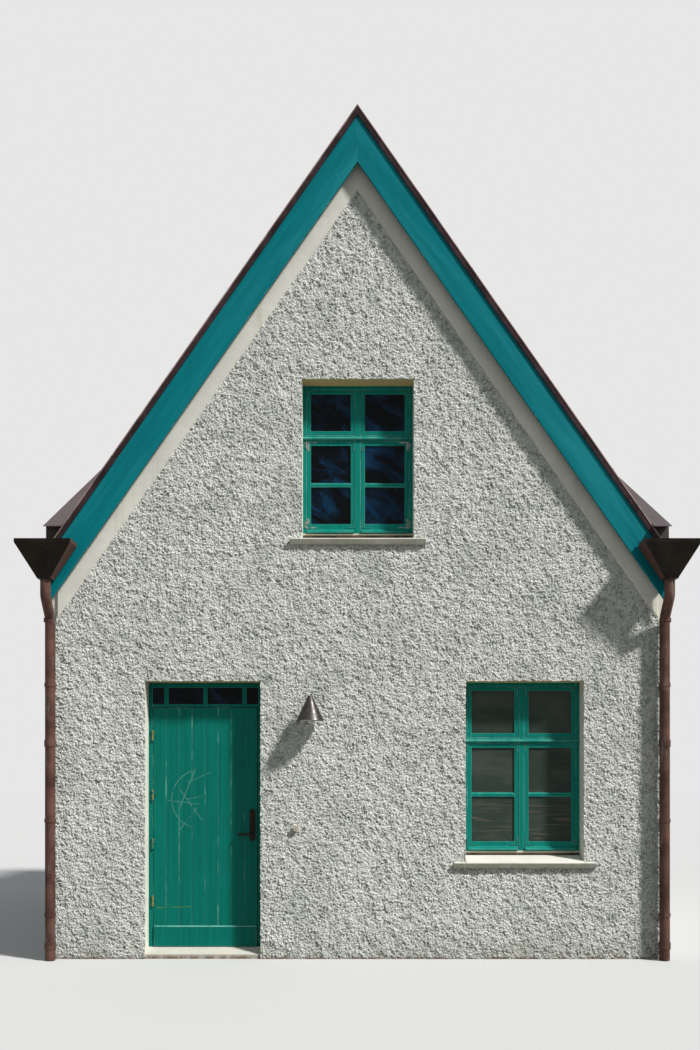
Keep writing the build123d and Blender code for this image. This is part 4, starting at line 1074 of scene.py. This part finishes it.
class HOUSE_OT_door(bpy.types.Operator):
    """Builds the plank door, its frame and its furniture"""

    bl_idname = "gabled_house.door"
    bl_label = "Door"

    boards: bpy.props.IntProperty(name="Boards", description="Number of upright boards",
                                  default=8, min=1)

    def execute(self, context):
        low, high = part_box("door_leaf")
        paint = make_door_paint("Door paint", (low.y + high.y) / 2)
        arris = make_worn_highlit_arris("Door arris", colours().door_paint, 0.25, (0.48, 0.76), 0.05)
        piece = start_piece("door_boards")
        width = (high.x - low.x) / self.boards
        for number in range(self.boards):
            add_block((low.x + number * width, low.y, low.z),
                      (low.x + (number + 1) * width, high.y, high.z))
        finish_piece(piece, [paint, arris], "door", sizes().board_arris, 2, 1,
                     stands_for=["door_leaf"])
        self.make_kickboard(paint)
        self.make_frame(arris)
        self.make_handle()
        hinge = make_painted_metal("Painted hinge", colours().door_paint, (0.26, 0.20, 0.06),
                                   barrel=HINGE_BARREL)
        dress("hinge_frame_halves", hinge)
        dress("hinge_door_halves", hinge)
        dress("transom_glass", bpy.data.materials["Dark glass"])
        return {"FINISHED"}

    def make_kickboard(self, paint):
        low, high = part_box("kickboard")
        piece = start_piece("kickboard_plank")
        add_block(low, high, cuts=[((0, low.y, high.z - 0.007), (0, -1, 0.8))])
        rubbed = make_worn_highlit_arris("Kickboard arris", colours().door_paint, 0.1, (0.30, 0.52))
        finish_piece(piece, [paint, rubbed], "door", 0.0022, 2, 1,
                     stands_for=["kickboard"])

    def make_frame(self, arris):
        low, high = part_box("door_frame")
        jamb, head, rail_low, rail_high = 0.034, high.z - 0.042, 2.090, 2.115
        piece = start_piece("door_frame_joinery")
        add_block((low.x, low.y, low.z), (low.x + jamb, high.y, high.z))
        add_block((high.x - jamb, low.y, low.z), (high.x, high.y, high.z))
        add_block((low.x + jamb, low.y, head), (high.x - jamb, high.y, high.z))
        add_block((low.x + jamb, low.y, rail_low), (high.x - jamb, high.y, rail_high))
        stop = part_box("door_leaf")[1].y + 0.005
        add_block((low.x + jamb, stop, low.z), (low.x + jamb + DOOR_STOP, high.y, rail_low))
        add_block((high.x - jamb - DOOR_STOP, stop, low.z), (high.x - jamb, high.y, rail_low))
        add_block((low.x + jamb + DOOR_STOP, stop, rail_low - DOOR_STOP),
                  (high.x - jamb - DOOR_STOP, high.y, rail_low))
        for middle in TRANSOM_BARS:
            add_block((middle - 0.019, low.y + 0.002, rail_high),
                      (middle + 0.019, low.y + 0.0155, head))
            add_block((middle - 0.015, low.y + 0.0225, rail_high),
                      (middle + 0.015, low.y + 0.045, head))
        paint = make_paint("Door frame paint", colours().door_paint)
        finish_piece(piece, [paint, arris], "house", sizes().arris, 2, 1,
                     stands_for=["door_frame"])

    def make_handle(self):
        bronze = make_metal("Handle bronze", (0.016, 0.012, 0.009), 0.45, 0.25)
        low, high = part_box("handle_plate")
        middle = (low.x + high.x) / 2
        piece = start_piece("handle_plate_bronze")
        add_block((low.x, low.y, low.z + PLATE_END), (high.x, high.y, high.z - PLATE_END))
        bpy.ops.mesh.select_all(action="DESELECT")
        for z, tall in ((low.z + PLATE_END, -PLATE_END), (high.z - PLATE_END, PLATE_END)):
            add_block((low.x + 0.007, low.y + 0.001, min(z, z + tall)),
                      (high.x - 0.007, high.y, max(z, z + tall)))
        for z in (low.z + 0.014, high.z - 0.014):
            add_round((middle, low.y, z), 0.0042, 0.003, 16)
        add_round((middle, low.y, KEYHOLE_LEVEL), 0.0105, 0.008, 28)
        add_round((middle, low.y + 0.001, LEVER_LEVEL), 0.0150, 0.006, 28)
        finish_piece(piece, [bronze], "door", 0.0012, 2,
                     stands_for=["handle_plate"])
        dress("door_lever", bronze)


class HOUSE_OT_verges(bpy.types.Operator):
    """Builds the bargeboards and the laps of the metal verge trim"""

    bl_idname = "gabled_house.verges"
    bl_label = "Verges"

    def execute(self, context):
        arris = make_worn_highlit_arris("Bargeboard arris", colours().board_paint, 0.10, (0.54, 0.80), 0)
        for side, name in ((-1, "left"), (1, "right")):
            board = make_paint(f"Bargeboard paint {name}", colours().board_paint,
                               (2.2, 24, 24), (0, -side * ROOF_PITCH, 0), 0.85, 0.45, 0.27)
            node = f"bargeboards_{name}"
            low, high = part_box(node)
            outer = max(abs(low.x), abs(high.x))
            piece = start_piece(f"bargeboard_planks_{name}")
            for face, back in ((low.y, low.y + BOARD_THICK), (high.y, high.y - BOARD_THICK)):
                self.add_slope_block(side, BOARD_NEAR, BOARD_FAR, face, back, outer)
            finish_piece(piece, [board, arris], "house", 0.003, 2, 1,
                         stands_for=[node])
        trim = make_rain_metal("Verge metal", (0.032, 0.019, 0.022), 0.2, (0.085, 0.050, 0.052))
        dress("verge_trims", trim)
        piece = start_piece("verge_laps")
        low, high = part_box("verge_trims")
        for side in (-1, 1):
            for face, back in ((low.y, low.y + 0.02), (high.y, high.y - 0.02)):
                for along in LAP_PLACES:
                    self.add_lap(side, along, face + (0.0008 if face > 0 else -0.0008), back)
        finish_piece(piece, [trim], "house", 0.0004, 1)
        # A pale bead along the top edge of the trim; its light colour is a painted highlight on the
        # trim's fold.
        bead = make_rain_metal("Verge bead", (0.26, 0.180, 0.172), 0.2, (0.34, 0.26, 0.25))
        piece = start_piece("verge_highlight_beads")
        for side in (-1, 1):
            for face, back in ((low.y, low.y + 0.004), (high.y, high.y - 0.004)):
                proud = 0.004 if face > 0 else -0.004
                self.add_slope_block(side, -0.0116, -0.0016, face + proud, back, high.x)
        finish_piece(piece, [bead], "house", 0.0026, 3)
        return {"FINISHED"}

    def add_slope_block(self, side, near, far, face, back, outer):
        """A board under one roof slope, sawn upright at the ridge and at its foot."""
        reach = (outer + far * sin(ROOF_PITCH)) / cos(ROOF_PITCH) + 0.4
        bpy.ops.mesh.primitive_cube_add(
            size=1, location=(side * (reach / 2 - 0.2), (face + back) / 2,
                              RIDGE_LEVEL - (near + far) / 2),
            scale=(reach, abs(back - face), far - near))
        bpy.ops.transform.rotate(
            value=-side * ROOF_PITCH, orient_axis="Y", center_override=(0, 0, RIDGE_LEVEL))
        for place, normal in (((0, 0, 0), (-side, 0, 0)), ((side * outer, 0, 0), (side, 0, 0))):
            bpy.ops.mesh.bisect(plane_co=place, plane_no=normal, use_fill=True,
                                clear_outer=True)
            bpy.ops.mesh.select_linked(delimit=set())

    def add_lap(self, side, along, face, back):
        """Where one length of trim slides over the next."""
        bpy.ops.mesh.primitive_cube_add(
            size=1, location=(side * along, (face + back) / 2, RIDGE_LEVEL - 0.0120),
            scale=(0.028, abs(back - face), 0.0496))
        bpy.ops.transform.rotate(
            value=-side * ROOF_PITCH, orient_axis="Y", center_override=(0, 0, RIDGE_LEVEL))


class HOUSE_OT_roof(bpy.types.Operator):
    """Gives the roof metal, the decks, floors and smooth walls their finishes"""

    bl_idname = "gabled_house.roof"
    bl_label = "Roof, floors and smooth walls"

    def execute(self, context):
        slopes = make_roof_metal("Slope metal", (0.9, 11, 0.9), "Y")
        for node in ("roof_sheet_left", "roof_sheet_right"):
            dress(node, slopes)
        dress("ridge_cap", make_roof_metal("Ridge metal", (0.9, 11, 0.9)))
        wall_end = cad_wall_end()
        dress("saddle_sheets", make_roof_metal("Saddle metal", (11, 0.9, 0.9), "X",
                                               wall_end - 0.5 * SEAM_SPACING))
        # Past the party faces the deck ends are nearly black.
        boarding = make_boards("Roof boarding", (0.17, 0.12, 0.080), "Y", ends=0.036)
        for node in ("roof_deck_left", "roof_deck_right"):
            dress(node, boarding)
        # The saddle decks are boarded very dark.
        dress("saddle_decks", make_boards("Damp boarding", (0.030, 0.022, 0.017), "Y"))
        cream = make_smooth_render("Cream render", colours().cream, ends=colours().party)
        for node in ("rake_bands", "front_wall_left", "front_wall_right", "front_gable",
                     "rear_wall", "rear_gable"):
            dress(node, cream)
        party = make_smooth_render("Party render", colours().party)
        for node in ("party_wall_left", "party_wall_right"):
            dress(node, party)
        make_sill_paint("Sill paint", colours().sill)
        make_sill_paint("Threshold paint", tone(colours().cream, 0.76))
        dress("ground_floor", make_smooth_render("Floor screed", (0.34, 0.33, 0.31)))
        dress("upper_floor", make_boards("Floor boards", (0.38, 0.26, 0.15), "Y", 0.14))
        return {"FINISHED"}


class HOUSE_OT_rain_goods(bpy.types.Operator):
    """Finishes the hopper heads, downpipes and clips, and adds collars on the pipes"""

    bl_idname = "gabled_house.rain_goods"
    bl_label = "Rain goods"

    def execute(self, context):
        # The hopper colour is near-black partly as painted shade on the fronts; the redder side
        # colour is painted sunlight.
        dark = make_rain_metal("Hopper metal", colours().rain, 0.05, (0.026, 0.014, 0.009),
                               (0.095, 0.046, 0.034))
        pipe = make_rain_metal("Pipe metal", colours().pipe, 0.2, (0.17, 0.145, 0.135), None,
                               (16, 16, 3.2), 0.75)
        for node in ("hoppers_front", "hoppers_rear"):
            dress(node, dark)
        for node in ("downpipes", "pipe_clips"):
            dress(node, pipe)
        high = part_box("downpipes")[1]
        piece = start_piece("pipe_collars")
        for x in (-high.x + PIPE_INSET, high.x - PIPE_INSET):
            for y in (-PIPE_Y, PIPE_Y):
                bpy.ops.mesh.select_all(action="DESELECT")
                add_round((x, y, COLLAR_LEVEL), 0.0465, 0.030, 40, upright=True)
                pick_faces(piece, lambda face: face.select and abs(face.normal.z) > 0.9)
                bpy.ops.mesh.inset(thickness=0.0022)
                bpy.ops.transform.resize(value=(1, 1, 1.16), center_override=(x, y, COLLAR_LEVEL))
        finish_piece(piece, [pipe], arris=0.0012, segments=2)
        return {"FINISHED"}


class HOUSE_OT_lamp_and_bell(bpy.types.Operator):
    """Builds the wall lamp's thin shade and bulb, and the bell push"""

    bl_idname = "gabled_house.lamp_and_bell"
    bl_label = "Lamp and bell"

    def execute(self, context):
        metal = make_metal("Lamp metal", (0.060, 0.056, 0.054), 0.36, 0.75, (60, 60, 0.8))
        low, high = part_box("lamp_shade")
        middle_x, middle_y = (low.x + high.x) / 2, (low.y + high.y) / 2
        piece = start_piece("lamp_shade_cone")
        radius = (high.x - low.x) / 2
        bpy.ops.mesh.primitive_cone_add(
            vertices=96, radius1=radius, radius2=0.015, depth=high.z - low.z,
            end_fill_type="NGON", location=(middle_x, middle_y, (low.z + high.z) / 2))
        bpy.ops.mesh.select_all(action="DESELECT")
        pick_faces(piece, lambda face: face.normal.z < -0.9)
        bpy.ops.mesh.inset(thickness=0.0025)
        bpy.ops.mesh.extrude_region_move(TRANSFORM_OT_translate={"value": (0, 0, 0.004)})
        bpy.ops.mesh.inset(thickness=0.052)
        bpy.ops.transform.translate(value=(0, 0, 0.088))
        bpy.ops.mesh.inset(thickness=0.018)
        bpy.ops.transform.translate(value=(0, 0, 0.018))
        pick_faces(piece, lambda face: face.normal.z < -0.05
                   and face.calc_center_median().z > low.z + 0.001)
        reflector = Finish("Lamp reflector", 0.35)
        reflector.colour(reflector.mix(reflector.noise(30, 3), (0.62, 0.61, 0.57),
                                       (0.74, 0.73, 0.70)))
        bpy.ops.object.mode_set(mode="OBJECT")
        piece.data.materials.append(metal)
        piece.data.materials.append(reflector.material)
        bpy.ops.object.mode_set(mode="EDIT")
        paint_selected(1)
        finish_piece(piece, [], arris=0.0012, segments=2,
                     stands_for=["lamp_shade"])
        bulb = start_piece("lamp_bulb")
        centre = (middle_x, middle_y, low.z + BULB_RISE)
        bpy.ops.mesh.primitive_uv_sphere_add(segments=40, ring_count=24, radius=0.026,
                                             location=centre)
        bpy.ops.transform.resize(value=(1, 1, 1.35), center_override=centre)
        frosted = Finish("Bulb glass", 0.3)
        frosted.colour(frosted.mix(frosted.noise(40, 2), (0.66, 0.65, 0.60),
                                   (0.74, 0.73, 0.70)))
        finish_piece(bulb, [frosted.material], smooth=60)
        dress("lamp_arm", metal)
        self.make_bell()
        return {"FINISHED"}

    def make_bell(self):
        low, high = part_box("bell_push")
        middle_x, middle_z = (low.x + high.x) / 2, (low.z + high.z) / 2
        radius = (high.x - low.x) / 2
        shell = make_smooth_render("Bell shell", (0.46, 0.43, 0.35), (0.15, 0.10, 0.06), 0.8)
        shell.node_tree.nodes["Principled BSDF"].inputs["Roughness"].default_value = 0.4
        piece = start_piece("bell_push_shell")
        add_round((middle_x, high.y - BELL_DEPTH / 2, middle_z), radius, BELL_DEPTH, 48)
        bpy.ops.mesh.select_all(action="DESELECT")
        pick_faces(piece, lambda face: face.normal.y < -0.9)
        bpy.ops.mesh.inset(thickness=0.013)
        bpy.ops.mesh.extrude_region_move(TRANSFORM_OT_translate={"value": (0, 0.003, 0)})
        bpy.ops.mesh.inset(thickness=0.0030)
        bpy.ops.mesh.extrude_region_move(TRANSFORM_OT_translate={"value": (0, -0.005, 0)})
        finish_piece(piece, [shell], arris=0.0013, segments=3,
                     stands_for=["bell_push"])


class HOUSE_OT_stage(bpy.types.Operator):
    """Sets the floor, the plain surroundings, the lamps and the camera"""

    bl_idname = "gabled_house.stage"
    bl_label = "Stage"

    def execute(self, context):
        scene = context.scene
        scene.view_settings.view_transform = "Standard"
        bpy.ops.object.select_all(action="DESELECT")
        bpy.ops.mesh.primitive_plane_add(size=120, location=(0, 0, -0.001))
        floor = context.object
        floor.name = "stage_floor"
        bpy.ops.object.transform_apply(location=True, rotation=True, scale=True)
        pale = Finish("Stage floor", 0.9, specular=0.1)
        path = pale.node("ShaderNodeLightPath").outputs
        seen = pale.math("MAXIMUM", path["Is Camera Ray"], pale.math(
            "MAXIMUM", path["Is Glossy Ray"], path["Is Transmission Ray"]))
        pale.colour(pale.mix(seen, (0.22, 0.22, 0.21), pale.mix(
            pale.noise(0.5, 2), (0.520, 0.522, 0.520), (0.532, 0.534, 0.532))))
        floor.data.materials.append(pale.material)
        self.make_world(scene)
        self.make_lamps(context)
        camera = bpy.data.objects.new("Camera", bpy.data.cameras.new("Camera"))
        scene.collection.objects.link(camera)
        camera.location = (-0.061, -11.5, 1.51)
        camera.rotation_euler = (pi / 2, 0, 0)
        camera.data.sensor_width = SENSOR_WIDTH
        camera.data.lens = SENSOR_WIDTH * FOCAL_PIXELS / PHOTO_HEIGHT
        camera.data.shift_y = (HORIZON_ROW - PHOTO_HEIGHT / 2) / PHOTO_HEIGHT
        camera.data.clip_end = 300
        scene.camera = camera
        return {"FINISHED"}

    def make_world(self, scene):
        world = bpy.data.worlds.new("Surroundings")
        scene.world = world
        world.use_nodes = True
        nodes, links = world.node_tree.nodes, world.node_tree.links
        light = nodes["Background"]
        light.inputs["Color"].default_value = (0.90, 0.955, 1.0, 1)
        light.inputs["Strength"].default_value = scene.stage_settings.fill
        white = nodes.new("ShaderNodeBackground")
        white.inputs["Strength"].default_value = 1.0
        path = nodes.new("ShaderNodeLightPath")
        seen = path.outputs["Is Camera Ray"]
        for ray in ("Is Glossy Ray", "Is Transmission Ray"):
            either = nodes.new("ShaderNodeMath")
            either.operation = "MAXIMUM"
            links.new(seen, either.inputs[0])
            links.new(path.outputs[ray], either.inputs[1])
            seen = either.outputs[0]
        mix = nodes.new("ShaderNodeMixShader")
        links.new(seen, mix.inputs[0])
        links.new(light.outputs[0], mix.inputs[1])
        links.new(white.outputs[0], mix.inputs[2])
        links.new(mix.outputs[0], nodes["World Output"].inputs["Surface"])

    def make_lamps(self, context):
        key = bpy.data.lights.new("Key", "SUN")
        key.energy = context.scene.stage_settings.key
        key.angle = radians(6)
        key.color = (1.0, 0.985, 0.96)
        lamp = bpy.data.objects.new("Key", key)
        context.scene.collection.objects.link(lamp)
        lamp.rotation_euler = (radians(44), 0, radians(57))


STEPS = ("stage", "roof", "windows", "sills", "door", "verges", "rain_goods",
         "lamp_and_bell", "roughcast")


class HOUSE_PT_panel(bpy.types.Panel):
    """Lists the steps of the house"""

    bl_idname = "HOUSE_PT_panel"
    bl_label = "Gabled house"
    bl_space_type = "VIEW_3D"
    bl_region_type = "UI"
    bl_category = "House"

    def draw(self, context):
        for step in STEPS:
            self.layout.operator(f"gabled_house.{step}")
        for group in (context.scene.house_colours, context.scene.house_sizes,
                      context.scene.stage_settings):
            for name in group.__annotations__:
                self.layout.prop(group, name)


CLASSES = (HouseColours, HouseSizes, StageSettings, HOUSE_OT_stage, HOUSE_OT_roof,
           HOUSE_OT_windows, HOUSE_OT_sills, HOUSE_OT_door, HOUSE_OT_verges,
           HOUSE_OT_rain_goods, HOUSE_OT_lamp_and_bell, HOUSE_OT_roughcast, HOUSE_PT_panel)


def register():
    for kind in CLASSES:
        bpy.utils.register_class(kind)
    bpy.types.Scene.house_colours = bpy.props.PointerProperty(type=HouseColours)
    bpy.types.Scene.house_sizes = bpy.props.PointerProperty(type=HouseSizes)
    bpy.types.Scene.stage_settings = bpy.props.PointerProperty(type=StageSettings)


def unregister():
    del bpy.types.Scene.stage_settings
    del bpy.types.Scene.house_sizes
    del bpy.types.Scene.house_colours
    for kind in reversed(CLASSES):
        bpy.utils.unregister_class(kind)


def main():
    register()
    for step in STEPS:
        getattr(bpy.ops.gabled_house, step)()


if __name__ == "__main__":
    main()
